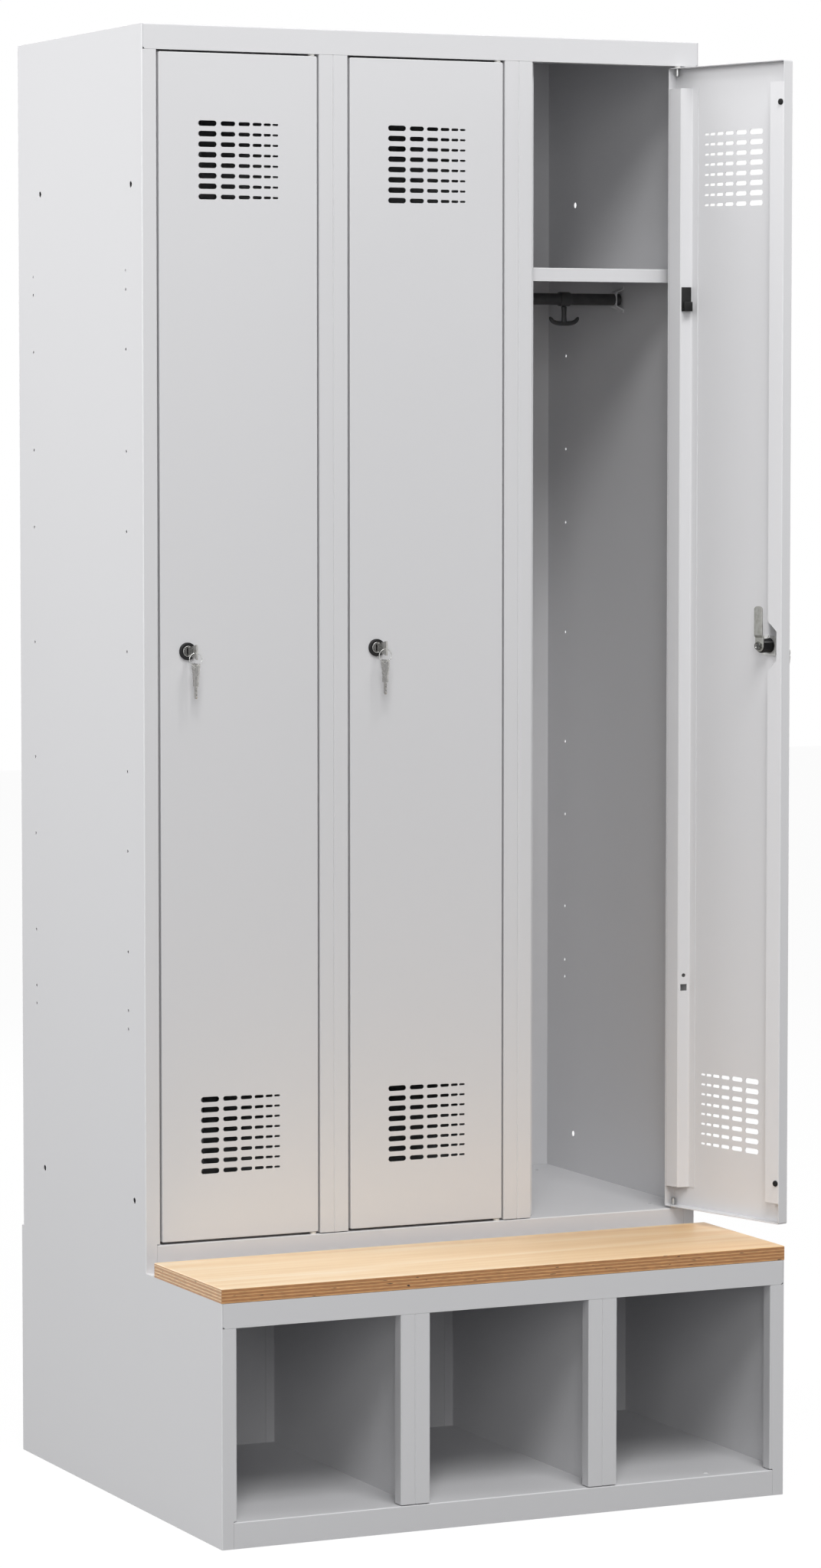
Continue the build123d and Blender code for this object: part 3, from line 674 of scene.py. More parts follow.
def rounded(corners: np.ndarray, cuts: np.ndarray, steps: int = 5) -> np.ndarray:
    """Round the corners of a closed outline.

    Each corner becomes the parabola (1-t)^2 A + 2t(1-t) C + t^2 B between the points A and B
    that lie one cut before and after it.

    Args:
        corners: Corners of the outline, n by 2.
        cuts: Cut at each corner, n values.
        steps: Points at each corner.

    Returns:
        The rounded outline, n times steps by 2.
    """
    before = np.roll(corners, 1, axis=0) - corners
    after = np.roll(corners, -1, axis=0) - corners
    start = corners + before / np.linalg.norm(before, axis=1, keepdims=True) * cuts[:, None]
    end = corners + after / np.linalg.norm(after, axis=1, keepdims=True) * cuts[:, None]
    share = np.linspace(0, 1, steps)[None, :, None]
    curve = (1 - share) ** 2 * start[:, None] + 2 * share * (1 - share) * corners[:, None]
    return (curve + share**2 * end[:, None]).reshape(-1, 2)


def round_hole(centre: Sequence[float], radius: float, sides: int) -> np.ndarray:
    """Circle of points: centre plus radius times cosine and sine of the angle."""
    return arc(centre, radius, 0, 360 * (1 - 1 / sides), sides)


def flat_mesh(loops: Sequence[np.ndarray], depth: float, place: Placing) -> bpy.types.Mesh:
    """Fill an outline with flat faces and leave its holes open.

    The outline is taken the way that gives the shoelace sum of x1 y2 - x2 y1 a plus sign.

    Args:
        loops: Outline and then its holes, each n by 2.
        depth: Height of the flat face over the drawing plane.
        place: Carries drawn points, n by 3, to their place in the model.

    Returns:
        The mesh.
    """
    sizes = np.array([len(loop) for loop in loops])
    first = np.repeat(np.cumsum(sizes) - sizes, sizes)
    index = np.arange(sizes.sum())
    following = first + (index - first + 1) % np.repeat(sizes, sizes)
    edges = np.stack([index, following], axis=1).tolist()
    points = list(map(Vector, np.concatenate(loops).tolist()))
    ahead = np.roll(loops[0], -1, axis=0)
    turns_left = np.sum(loops[0][:, 0] * ahead[:, 1] - ahead[:, 0] * loops[0][:, 1]) > 0
    outline = index[: sizes[0]] if turns_left else index[: sizes[0]][::-1]
    filled = delaunay_2d_cdt(points, edges, [outline.tolist()], HOLES_LEFT_OPEN, FILL_TOLERANCE)
    corners, _, faces, *_ = filled
    drawn = np.array([tuple(corner) for corner in corners])
    made = bpy.data.meshes.new("flat")
    made.from_pydata(place(np.column_stack([drawn, np.full(len(drawn), depth)])), [], faces)
    return made


def wall_mesh(loop: np.ndarray, near: float, far: float, place: Placing) -> bpy.types.Mesh:
    """Wall that follows a closed outline between two depths.

    Args:
        loop: The outline, n by 2.
        near: First depth.
        far: Last depth.
        place: Carries drawn points, n by 3, to their place in the model.

    Returns:
        The mesh.
    """
    rows = [place(np.column_stack([loop, np.full(len(loop), depth)])) for depth in (near, far)]
    return grid_mesh(np.stack(rows, axis=1), True, False)


def plate(loops: Sequence[np.ndarray], near: float, far: float, place: Placing) -> list[bpy.types.Mesh]:
    """Closed plate: two flat faces and the walls of its outline and holes.

    Args:
        loops: Outline and then its holes, each n by 2.
        near: Depth of one face.
        far: Depth of the other.
        place: Carries drawn points, n by 3, to their place in the model.

    Returns:
        The meshes of its surfaces.
    """
    walls = [wall_mesh(loop, near, far, place) for loop in loops]
    return [flat_mesh(loops, near, place), flat_mesh(loops, far, place), *walls]


def joined(name: str, meshes: Sequence[bpy.types.Mesh], sharp_degrees: float = 180.0) -> bpy.types.Object:
    """Join meshes into one piece whose faces point outwards.

    Args:
        name: Name of the piece.
        meshes: Surfaces that close on each other, which are used up.
        sharp_degrees: Edges that turn by more stay sharp, and flat faces then stay flat.

    Returns:
        The piece, linked to the scene.
    """
    shape = bmesh.new()
    for mesh in meshes:
        shape.from_mesh(mesh)
        bpy.data.meshes.remove(mesh)
    bmesh.ops.remove_doubles(shape, verts=shape.verts, dist=MERGE_DISTANCE)
    bmesh.ops.recalc_face_normals(shape, faces=shape.faces)
    made = bpy.data.meshes.new(name)
    shape.to_mesh(made)
    shape.free()
    made.polygons.foreach_set("use_smooth", np.ones(len(made.polygons), dtype=bool))
    piece = bpy.data.objects.new(name, made)
    bpy.context.scene.collection.objects.link(piece)
    if sharp_degrees < 180:
        made.set_sharp_from_angle(angle=math.radians(sharp_degrees))
        flatten = piece.modifiers.new("flat faces", "WEIGHTED_NORMAL")
        flatten.keep_sharp = True
    return piece


def settle(piece: bpy.types.Object, body: str, slot: Slot, *nodes: str, finish: Finish | None = None) -> None:
    """Give a piece its finish, its body and the solids that it stands for.

    Args:
        piece: The finished piece.
        body: Body that it rides on.
        slot: Material slot of the record.
        nodes: Solids that the piece replaces.
        finish: Finish of its own, where it differs from the slot's.
    """
    piece.data.materials.clear()
    piece.data.materials.append((finish or FINISHES[slot]).dress())
    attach(piece, body)
    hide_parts(*nodes)
    LOG.info("%s rides on %s", piece.name, body)


@dataclass
class DoorPlace:
    """Where one door hangs: its hinge line, its foot and the angle that it stands open."""

    number: int
    frame: dict
    lock_x: float = -199.5
    lock_z: float = 858.75

    def __post_init__(self) -> None:
        """Read the hinge and the open angle from the joints."""
        joints = {joint["name"]: joint for joint in self.frame["joints"]}
        across = joints[f"lock_turn_{self.number}"]["axis"]
        self.angle = math.atan2(across[0], -across[1])
        self.hinge = joints[f"door_hinge_{self.number}"]["pos_m"]
        self.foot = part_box(f"door_panel_{self.number}")[0].z

    def world(self, drawn: np.ndarray) -> np.ndarray:
        """Turn points of the closed door about its hinge line and move them to its place.

        Args:
            drawn: Points in millimetres from the foot of the hinge line, with X along the
                closed door and Y into the locker; the last axis holds X, Y and Z.

        Returns:
            The points in metres in the frame of the model.
        """
        x, y, z = np.moveaxis(np.asarray(drawn) * MM, -1, 0)
        turned_x = self.hinge[0] + x * math.cos(self.angle) - y * math.sin(self.angle)
        turned_y = self.hinge[1] + x * math.sin(self.angle) + y * math.cos(self.angle)
        return np.stack([turned_x, turned_y, self.foot + z], axis=-1)

    def upright(self, drawn: np.ndarray) -> np.ndarray:
        """Place a drawing of the door's face: X, height, and depth into the locker."""
        return self.world(drawn[..., [0, 2, 1]])

    def on_lock(self, drawn: np.ndarray) -> np.ndarray:
        """Place a drawing whose origin is on the lock's axis: X, height, and depth."""
        return self.upright(drawn + np.array((self.lock_x, self.lock_z, 0.0)))


@dataclass
class SheetMetal:
    """Every solid that keeps its shape, dressed by the slot that the record gives it."""

    frame: dict

    def build(self) -> None:
        """Put each node's finish into its object's material slots."""
        for entry in self.frame["record"]["subparts"]:
            node = self.frame["nodes"][entry["node"]]
            finish = FINISHES[Slot(entry["material_slot"])]
            for place in node.material_slots:
                place.material = finish.dress()
        LOG.info("%d nodes dressed", len(self.frame["nodes"]))


@dataclass
class SoftenedFittings:
    """Small fittings whose edges are rounded as moulding, stamping or plating leaves them."""

    frame: dict
    edges_mm: Mapping[str, float]
    finishes: Mapping[str, Finish]
    steps: int = 2
    sharp_degrees: float = 35.0
    flat_degrees: float = 1.0
    merge_mm: float = 0.002

    def soften(self, node: bpy.types.Object, name: str, width: float) -> bpy.types.Object:
        """Copy a solid, merge its loose triangles into flat faces and round its sharp edges.

        Args:
            node: The solid.
            name: Name of the piece.
            width: Width of the rounding in metres.

        Returns:
            The piece.
        """
        shape = bmesh.new()
        shape.from_mesh(node.data)
        bmesh.ops.remove_doubles(shape, verts=shape.verts, dist=self.merge_mm * MM)
        flat = math.radians(self.flat_degrees)
        bmesh.ops.dissolve_limit(shape, angle_limit=flat, verts=shape.verts, edges=shape.edges)
        made = bpy.data.meshes.new(name)
        shape.to_mesh(made)
        shape.free()
        made.polygons.foreach_set("use_smooth", np.ones(len(made.polygons), dtype=bool))
        piece = bpy.data.objects.new(name, made)
        bpy.context.scene.collection.objects.link(piece)
        bevel = piece.modifiers.new("rounding", "BEVEL")
        bevel.width = width
        bevel.segments = self.steps
        bevel.limit_method = "ANGLE"
        bevel.angle_limit = math.radians(self.sharp_degrees)
        bevel.harden_normals = True
        return piece

    def build(self) -> None:
        """Make the rounded copy of each listed fitting on every door and rail."""
        slots = {entry["node"]: Slot(entry["material_slot"]) for entry in self.frame["record"]["subparts"]}
        bodies = self.frame["record"]["behaviour"]["bodies"]
        for body, members in bodies.items():
            for member in members:
                kind = member.rstrip("0123456789").rstrip("_")
                if kind in self.edges_mm:
                    name, width = f"{member}_rounded", self.edges_mm[kind] * MM
                    piece = self.soften(self.frame["nodes"][member], name, width)
                    settle(piece, body, slots[member], member, finish=self.finishes.get(kind))


@dataclass
class DoorPan:
    """Folded door sheet: front with two fields of vent slots, walls all round and a return flange."""

    place: DoorPlace
    width: float = 248.0
    height: float = 1717.5
    hinge_inset: float = 6.5
    front: float = -6.0
    back: float = 12.0
    sheet: float = 1.0
    bend: float = 1.3
    corner: float = 2.5
    bend_steps: int = 6
    corner_steps: int = 5
    return_width: float = 29.0
    return_end: float = 31.0
    return_base: float = 8.0
    relief_outer: float = 37.0
    relief_inner: float = 22.0
    relief_depth: float = 18.5
    lock_hole: float = 10.4
    slot_rows: int = 8
    slot_pitch: float = 15.0
    slot_end: float = 100.5
    slot_widths: tuple[float, ...] = (28.6, 22.8, 18.1, 14.3, 11.3, 9.0)
    slot_heights: tuple[float, ...] = (8.0, 6.7, 5.5, 4.6, 3.8, 3.0)
    slot_gap_share: float = 0.246
    slot_corner_share: float = 0.49
    slot_corner_steps: int = 5
    lock_hole_sides: int = 40
    sharp_degrees: float = 32.0

    def rim(self) -> np.ndarray:
        """Bend and wall carried round the outline.

        A profile point has an inset and a depth: the quarter circle of the outer bend, the
        wall, its edge, and the quarter circle of the inner bend. A station has a corner's
        centre and a direction. The point is the centre plus corner radius less inset times the
        direction, and its depth is cut off where the return flange takes over from the wall.

        Returns:
            The grid of points, stations by profile by 3.
        """
        middle = (self.bend, self.front + self.bend)
        outer = arc(middle, self.bend, 270, 180, self.bend_steps)
        inner = arc(middle, self.bend - self.sheet, 180, 270, self.bend_steps)
        profile = np.concatenate([outer, [(0.0, self.back), (self.sheet, self.back)], inner])
        quadrant = np.array([270.0, 0.0, 90.0, 180.0])
        sweep = np.linspace(0, 90, self.corner_steps)
        degrees = np.insert((quadrant[:, None] + sweep).reshape(-1), 3 * self.corner_steps, np.full(4, 180.0))
        right, left = self.hinge_inset - self.corner, self.hinge_inset - self.width + self.corner
        centre_x = np.repeat([right, right, left, left], [self.corner_steps] * 3 + [self.corner_steps + 4])
        low, high = self.corner, self.height - self.corner
        centre_z = np.repeat([low, high, high, low], self.corner_steps)
        ends = (self.height - self.return_end, self.return_end)
        centre_z = np.insert(centre_z, 3 * self.corner_steps, np.repeat(ends, 2))
        limit = np.full(len(degrees), self.back)
        limit[3 * self.corner_steps + 1 : 3 * self.corner_steps + 3] = self.return_base
        reach = self.corner - profile[None, :, 0]
        angle = np.radians(degrees)[:, None]
        depth = np.minimum(profile[None, :, 1], limit[:, None])
        across = centre_x[:, None] + reach * np.cos(angle)
        height = centre_z[:, None] + reach * np.sin(angle)
        return np.stack([across, depth, height], axis=-1)

    def slots(self) -> list[np.ndarray]:
        """Outlines of all vent slots.

        Widths shrink towards the hinge; the gap between two columns is a share of their mean
        width, and the field is centred on the door. Each slot is its centre plus half its size
        less its corner radius, with the sign of each corner, plus the radius times a direction.

        Returns:
            One closed outline for each slot.
        """
        widths, heights = np.array(self.slot_widths), np.array(self.slot_heights)
        gaps = self.slot_gap_share * (widths[1:] + widths[:-1]) / 2
        starts = np.concatenate([[0.0], np.cumsum(widths[:-1] + gaps)])
        middle = self.hinge_inset - self.width / 2
        centre_x = middle + starts + widths / 2 - (widths.sum() + gaps.sum()) / 2
        rows = (np.arange(self.slot_rows) - (self.slot_rows - 1) / 2) * self.slot_pitch
        reach = self.slot_end + (self.slot_rows - 1) * self.slot_pitch / 2
        centre_z = np.concatenate([reach + rows, self.height - reach + rows])
        places = np.meshgrid(np.arange(len(widths)), np.arange(len(centre_z)))
        column, row = (grid.reshape(-1) for grid in places)
        centre = np.stack([centre_x[column], centre_z[row]], axis=1)[:, None, None]
        radius = (self.slot_corner_share * heights[column])[:, None, None, None]
        half = np.stack([widths[column], heights[column]], axis=1)[:, None, None] / 2 - radius
        signs = np.array([(1, 1), (-1, 1), (-1, -1), (1, -1)])[None, :, None]
        sweep = np.radians(np.arange(4)[:, None] * 90 + np.linspace(0, 90, self.slot_corner_steps)[None])
        direction = np.stack([np.cos(sweep), np.sin(sweep)], axis=-1)[None]
        loops = centre + signs * half + radius * direction
        return list(loops.reshape(len(column), -1, 2))

    def flange(self) -> np.ndarray:
        """Return flange behind the lock edge, carried up the door.

        Its section runs round the outer bend, out along the back and home along the inner
        bend; the free edge stands back by the relief's depth around the lock.

        Returns:
            The grid of points, heights by section by 3.
        """
        painted_highlight = self.hinge_inset - self.width
        centre = (painted_highlight + self.bend, self.back - self.bend)
        outer = arc(centre, self.bend, 180, 90, self.bend_steps)
        inner = arc(centre, self.bend - self.sheet, 90, 180, self.bend_steps)
        middle = self.place.lock_z
        rows = np.array(
            [
                (self.return_end, 0.0),
                (middle - self.relief_outer, 0.0),
                (middle - self.relief_inner, self.relief_depth),
                (middle + self.relief_inner, self.relief_depth),
                (middle + self.relief_outer, 0.0),
                (self.height - self.return_end, 0.0),
            ]
        )
        free = painted_highlight + self.return_width - rows[:, 1]
        section = np.concatenate(
            [
                [(painted_highlight, self.return_base)],
                outer,
                [(0.0, self.back), (0.0, self.back - self.sheet)],
                inner,
                [(painted_highlight + self.sheet, self.return_base)],
            ]
        )
        across = np.repeat(section[None, :, 0], len(rows), axis=0)
        tip = 1 + self.bend_steps
        across[:, tip : tip + 2] = free[:, None]
        depth = np.repeat(section[None, :, 1], len(rows), axis=0)
        height = np.repeat(rows[:, :1], len(section), axis=1)
        return np.stack([across, depth, height], axis=-1)

    def build(self) -> None:
        """Make the door sheet as one closed skin and a flange that carries its wall on."""
        number = self.place.number
        rim, flange = self.rim(), self.flange()
        lock = round_hole((self.place.lock_x, self.place.lock_z), self.lock_hole, self.lock_hole_sides)
        holes = [lock, *self.slots()]
        near, far = self.front, self.front + self.sheet
        meshes = [grid_mesh(self.place.world(rim), True, False)]
        meshes.append(flat_mesh([rim[:, 0, [0, 2]], *holes], near, self.place.upright))
        meshes.append(flat_mesh([rim[:, -1, [0, 2]], *holes], far, self.place.upright))
        meshes += [wall_mesh(hole, near, far, self.place.upright) for hole in holes]
        meshes.append(grid_mesh(self.place.world(flange), False, True))
        for end in (flange[0], flange[-1]):
            meshes.append(flat_mesh([end[:, :2]], end[0, 2], self.place.world))
        piece = joined(f"door_panel_{number}_folded", meshes, self.sharp_degrees)
        settle(piece, f"door_{number}", Slot.POWDER_COAT, f"door_panel_{number}")


@dataclass
class DoorTrim:
    """Hinge pins and rubber buffers of one door, turned and moulded round."""

    place: DoorPlace
    height: float = 1717.5
    pin_radius: float = 3.0
    pin_inside: float = 12.0
    pin_outside: float = 8.0
    pin_chamfer: float = 0.6
    buffer_radius: float = 4.5
    buffer_rise: float = 2.7
    buffer_round: float = 1.6
    buffer_steps: int = 6
    buffer_x: float = -235.0
    buffer_end: float = 61.0
    back: float = 12.0
    sides: int = 32

    def pin(self, low: float, high: float) -> bpy.types.Mesh:
        """Turned pin on the hinge line, chamfered at both ends.

        Args:
            low: Height of its lower end over the door's foot.
            high: Height of its upper end.

        Returns:
            The mesh.
        """
        inner = self.pin_radius - self.pin_chamfer
        profile = [(0, low), (inner, low), (self.pin_radius, low + self.pin_chamfer)]
        profile += [(self.pin_radius, high - self.pin_chamfer), (inner, high), (0, high)]
        return grid_mesh(self.place.world(turned(np.array(profile), self.sides)), True, False)

    def buffer(self, height: float) -> bpy.types.Mesh:
        """Domed buffer: a short wall, then a quarter circle to the flat crown.

        Args:
            height: Height of its middle over the door's foot.

        Returns:
            The mesh.
        """
        middle = (self.buffer_radius - self.buffer_round, self.buffer_rise - self.buffer_round)
        crown = arc(middle, self.buffer_round, 0, 90, self.buffer_steps)
        profile = np.concatenate([[(0, 0), (self.buffer_radius, 0)], crown, [(0, self.buffer_rise)]])
        shift = np.array((self.buffer_x, height, self.back))
        return grid_mesh(self.place.upright(turned(profile, self.sides) + shift), True, False)

    def build(self) -> None:
        """Make both pins and both buffers."""
        number = self.place.number
        pins = [self.pin(-self.pin_outside, self.pin_inside)]
        pins.append(self.pin(self.height - self.pin_inside, self.height + self.pin_outside))
        piece = joined(f"hinge_pins_{number}_turned", pins, sharp_degrees=40)
        settle(piece, f"door_{number}", Slot.ZINC_STEEL, f"hinge_pins_{number}")
        buffers = [self.buffer(self.buffer_end), self.buffer(self.height - self.buffer_end)]
        piece = joined(f"door_buffers_{number}_moulded", buffers, sharp_degrees=60)
        settle(piece, f"door_{number}", Slot.BLACK_RUBBER, f"door_buffers_{number}")


@dataclass
class CamLock:
    """Cam lock: moulded housing with a threaded barrel, plug with keyway, cam and its screw."""

    place: DoorPlace
    door_front: float = -6.0
    rim_radius: float = 12.7
    rim_rise: float = 4.0
    rim_round: float = 1.7
    rim_steps: int = 7
    barrel_radius: float = 10.5
    barrel_flats: float = 18.4
    barrel_end: float = 14.7
    barrel_tip: float = 0.6
    thread_pitch: float = 1.75
    thread_depth: float = 0.7
    thread_steps: int = 6
    lip_round: float = 0.5
    lip_steps: int = 4
    bore: float = 8.36
    plug_radius: float = 8.3
    plug_end: float = 15.0
    plug_setback: float = 0.3
    plug_chamfer: float = 0.5
    keyway_size: tuple[float, float] = (4.4, 9.4)
    keyway_depth: float = 9.0
    keyway_round: float = 0.5
    cam_width: float = 17.0
    cam_reach: float = 58.7
    cam_sheet: float = 2.0
    cam_crank: float = 2.5
    cam_crank_start: float = 12.0
    cam_crank_run: float = 4.0
    cam_top_rise: float = 5.6
    cam_top_power: float = 2.3
    cam_edge: float = 0.25
    cam_bend_steps: int = 13
    screw_radius: float = 6.4
    screw_head: float = 4.4
    screw_bevel: float = 0.9
    screw_dimple: float = 3.9
    screw_dimple_wall: float = 0.7
    screw_dimple_depth: float = 1.0
    screw_sides: int = 48
    # Painted highlight: size of the bright ring that stands in for the light on the plug's rim.
    highlight_radius: float = 7.5
    highlight_wire: float = 0.8
    highlight_sides: int = 12
    sides: int = 72

    def housing(self) -> np.ndarray:
        """Rim and barrel: a closed profile turned round the lock's axis.

        On the barrel the radius sinks by the thread's depth times a triangle wave of depth over
        pitch plus turns, and X is held between the two flats.

        Returns:
            The grid of points round the axis.
        """
        face = self.door_front - self.rim_rise
        mouth = (self.bore + self.lip_round, face + self.lip_round)
        lip = arc(mouth, self.lip_round, 180, 270, self.lip_steps)
        shoulder = (self.rim_radius - self.rim_round, face + self.rim_round)
        painted_highlight = arc(shoulder, self.rim_round, 270, 360, self.rim_steps)
        back, foot = [(self.bore, self.barrel_end)], [(self.rim_radius, self.door_front)]
        front = np.concatenate([back, lip, painted_highlight, foot])
        step = self.thread_pitch / self.thread_steps
        depths = np.arange(self.door_front, self.barrel_end - self.barrel_tip, step)
        barrel = np.column_stack([np.full(len(depths), self.barrel_radius), depths])
        end = [(self.barrel_radius - self.thread_depth, self.barrel_end)]
        grid = turned(np.concatenate([front, barrel, end]), self.sides)
        first, last = len(front) + 2, len(front) + len(barrel)
        turns = np.arange(self.sides)[:, None] / self.sides
        wave = np.abs(2 * ((grid[:, first:last, 2] / self.thread_pitch + turns) % 1) - 1)
        grid[:, first:last, :2] *= (1 - self.thread_depth / self.barrel_radius * wave)[..., None]
        flat = self.barrel_flats / 2
        grid[:, len(front) :, 0] = np.clip(grid[:, len(front) :, 0], -flat, flat)
        return grid

    def plug(self) -> list[bpy.types.Mesh]:
        """Plug: turned shell, flat face round the keyway, and the keyway's walls and floor.

        Returns:
            The meshes of its surfaces.
        """
        face = self.door_front - self.rim_rise + self.plug_setback
        inner = self.plug_radius - self.plug_chamfer
        profile = [(inner, face), (self.plug_radius, face + self.plug_chamfer)]
        profile += [(self.plug_radius, self.plug_end), (0, self.plug_end)]
        shell = turned(np.array(profile), self.sides)
        half = np.array(self.keyway_size) / 2
        signs = np.array([(1, 1), (-1, 1), (-1, -1), (1, -1)])
        keyway = rounded(signs * half, np.full(4, self.keyway_round), 4)
        floor = face + self.keyway_depth
        return [
            grid_mesh(self.place.on_lock(shell), True, False),
            flat_mesh([shell[:, 0, :2], keyway], face, self.place.on_lock),
            wall_mesh(keyway, face, floor, self.place.on_lock),
            flat_mesh([keyway], floor, self.place.on_lock),
        ]

    def cam(self) -> np.ndarray:
        """Cam: a flat bar with a round root, a crank and a rounded end.

        Half its width follows a circle round the lock's axis at the root, is constant along
        the bar, and over the end's rise shrinks as the root of one less the share risen, both
        to the same power. Its depth rises by the crank between the crank's two lines.

        Returns:
            The grid of points, heights by section by 3.
        """
        half, top = self.cam_width / 2, self.cam_reach - self.cam_top_rise
        bend = np.radians(np.linspace(0, 90, self.cam_bend_steps))
        power = self.cam_top_power
        crank = (self.cam_crank_start, self.cam_crank_start + self.cam_crank_run)
        height = np.concatenate([-half * np.cos(bend), crank, top + self.cam_top_rise * np.sin(bend)])
        end = (1 - np.clip(np.sin(bend), 0, 1) ** power) ** (1 / power)
        width = np.concatenate([half * np.sin(bend), (half, half), half * end])
        lift = self.plug_end + self.cam_crank * np.clip((height - crank[0]) / self.cam_crank_run, 0, 1)
        inset = np.minimum(self.cam_edge, width)
        near, far = lift, lift + self.cam_sheet
        across = [width - inset, width, width, width - inset, inset - width, -width, -width, inset - width]
        depth = [near, near + self.cam_edge, far - self.cam_edge, far, far, far - self.cam_edge]
        depth += [near + self.cam_edge, near]
        tall = np.repeat(height[:, None], len(depth), axis=1)
        return np.stack([np.stack(across, axis=1), tall, np.stack(depth, axis=1)], axis=-1)

    def screw(self) -> np.ndarray:
        """Hexagon head of the screw, bevelled at the top round a shallow dimple.

        The radius is the flat's distance over the cosine of the angle from the flat's middle.

        Returns:
            The grid of points round the axis.
        """
        turn = np.arange(self.screw_sides)[:, None] * 360 / self.screw_sides
        flat = self.screw_radius * math.cos(math.pi / 6)
        hexagon = flat / np.cos(np.radians((turn + 30) % 60 - 30))
        foot = self.plug_end + self.cam_sheet
        top = foot + self.screw_head
        middle = np.zeros_like(hexagon)
        dimple = middle + self.screw_dimple
        floor, low = dimple - self.screw_dimple_wall, top - self.screw_dimple_depth
        radius = [middle, hexagon, hexagon, np.minimum(hexagon, flat), dimple, floor, middle]
        radius = np.column_stack(radius)
        heights = np.array([foot, foot, top - self.screw_bevel, top, top, low, low])
        along = heights[None] + 0 * turn
        angle = np.radians(turn)
        return np.stack([radius * np.cos(angle), radius * np.sin(angle), along], axis=-1)

    def painted_rim_highlight(self) -> np.ndarray:
        """Painted highlight: thin bright wire ring round the plug's face, turned about the lock's axis, for
        the light on its rim.
        """
        face = self.door_front - self.rim_rise + self.plug_setback
        wire = round_hole((self.highlight_radius, face), self.highlight_wire / 2, self.highlight_sides)
        return turned(wire, self.sides)

    def build(self) -> None:
        """Make the lock's pieces on their door."""
        number = self.place.number
        core = f"lock_core_{number}"
        meshes = [grid_mesh(self.place.on_lock(self.housing()), True, True)]
        piece = joined(f"lock_housing_{number}_moulded", meshes, sharp_degrees=50)
        settle(piece, f"door_{number}", Slot.BLACK_PLASTIC, f"lock_housing_{number}")
        # The plug's finish holds painted reflection: dark paint stands in for what its bright nickel
        # reflects.
        piece = joined(f"lock_plug_{number}_turned", self.plug(), sharp_degrees=40)
        settle(piece, core, Slot.NICKEL_STEEL, f"lock_plug_{number}", finish=LOCK_FACE)
        # Painted highlight: a bright wire ring round the plug's face stands in for the light caught by its
        # rim.
        meshes = [grid_mesh(self.place.on_lock(self.painted_rim_highlight()), True, True)]
        piece = joined(f"lock_plug_{number}_edge", meshes)
        settle(piece, core, Slot.NICKEL_STEEL, finish=SPRING_WIRE)
        meshes = [grid_mesh(self.place.on_lock(self.cam()), False, True)]
        piece = joined(f"lock_cam_{number}_blanked", meshes, sharp_degrees=28)
        settle(piece, core, Slot.ZINC_STEEL, f"lock_cam_{number}", finish=BLANKED_ZINC)
        # The screw's finish holds painted reflection: its zinc is painted dark.
        meshes = [grid_mesh(self.place.on_lock(self.screw()), True, False)]
        piece = joined(f"lock_cam_{number}_screw", meshes, sharp_degrees=20)
        settle(piece, core, Slot.ZINC_STEEL, finish=SCREW_ZINC)


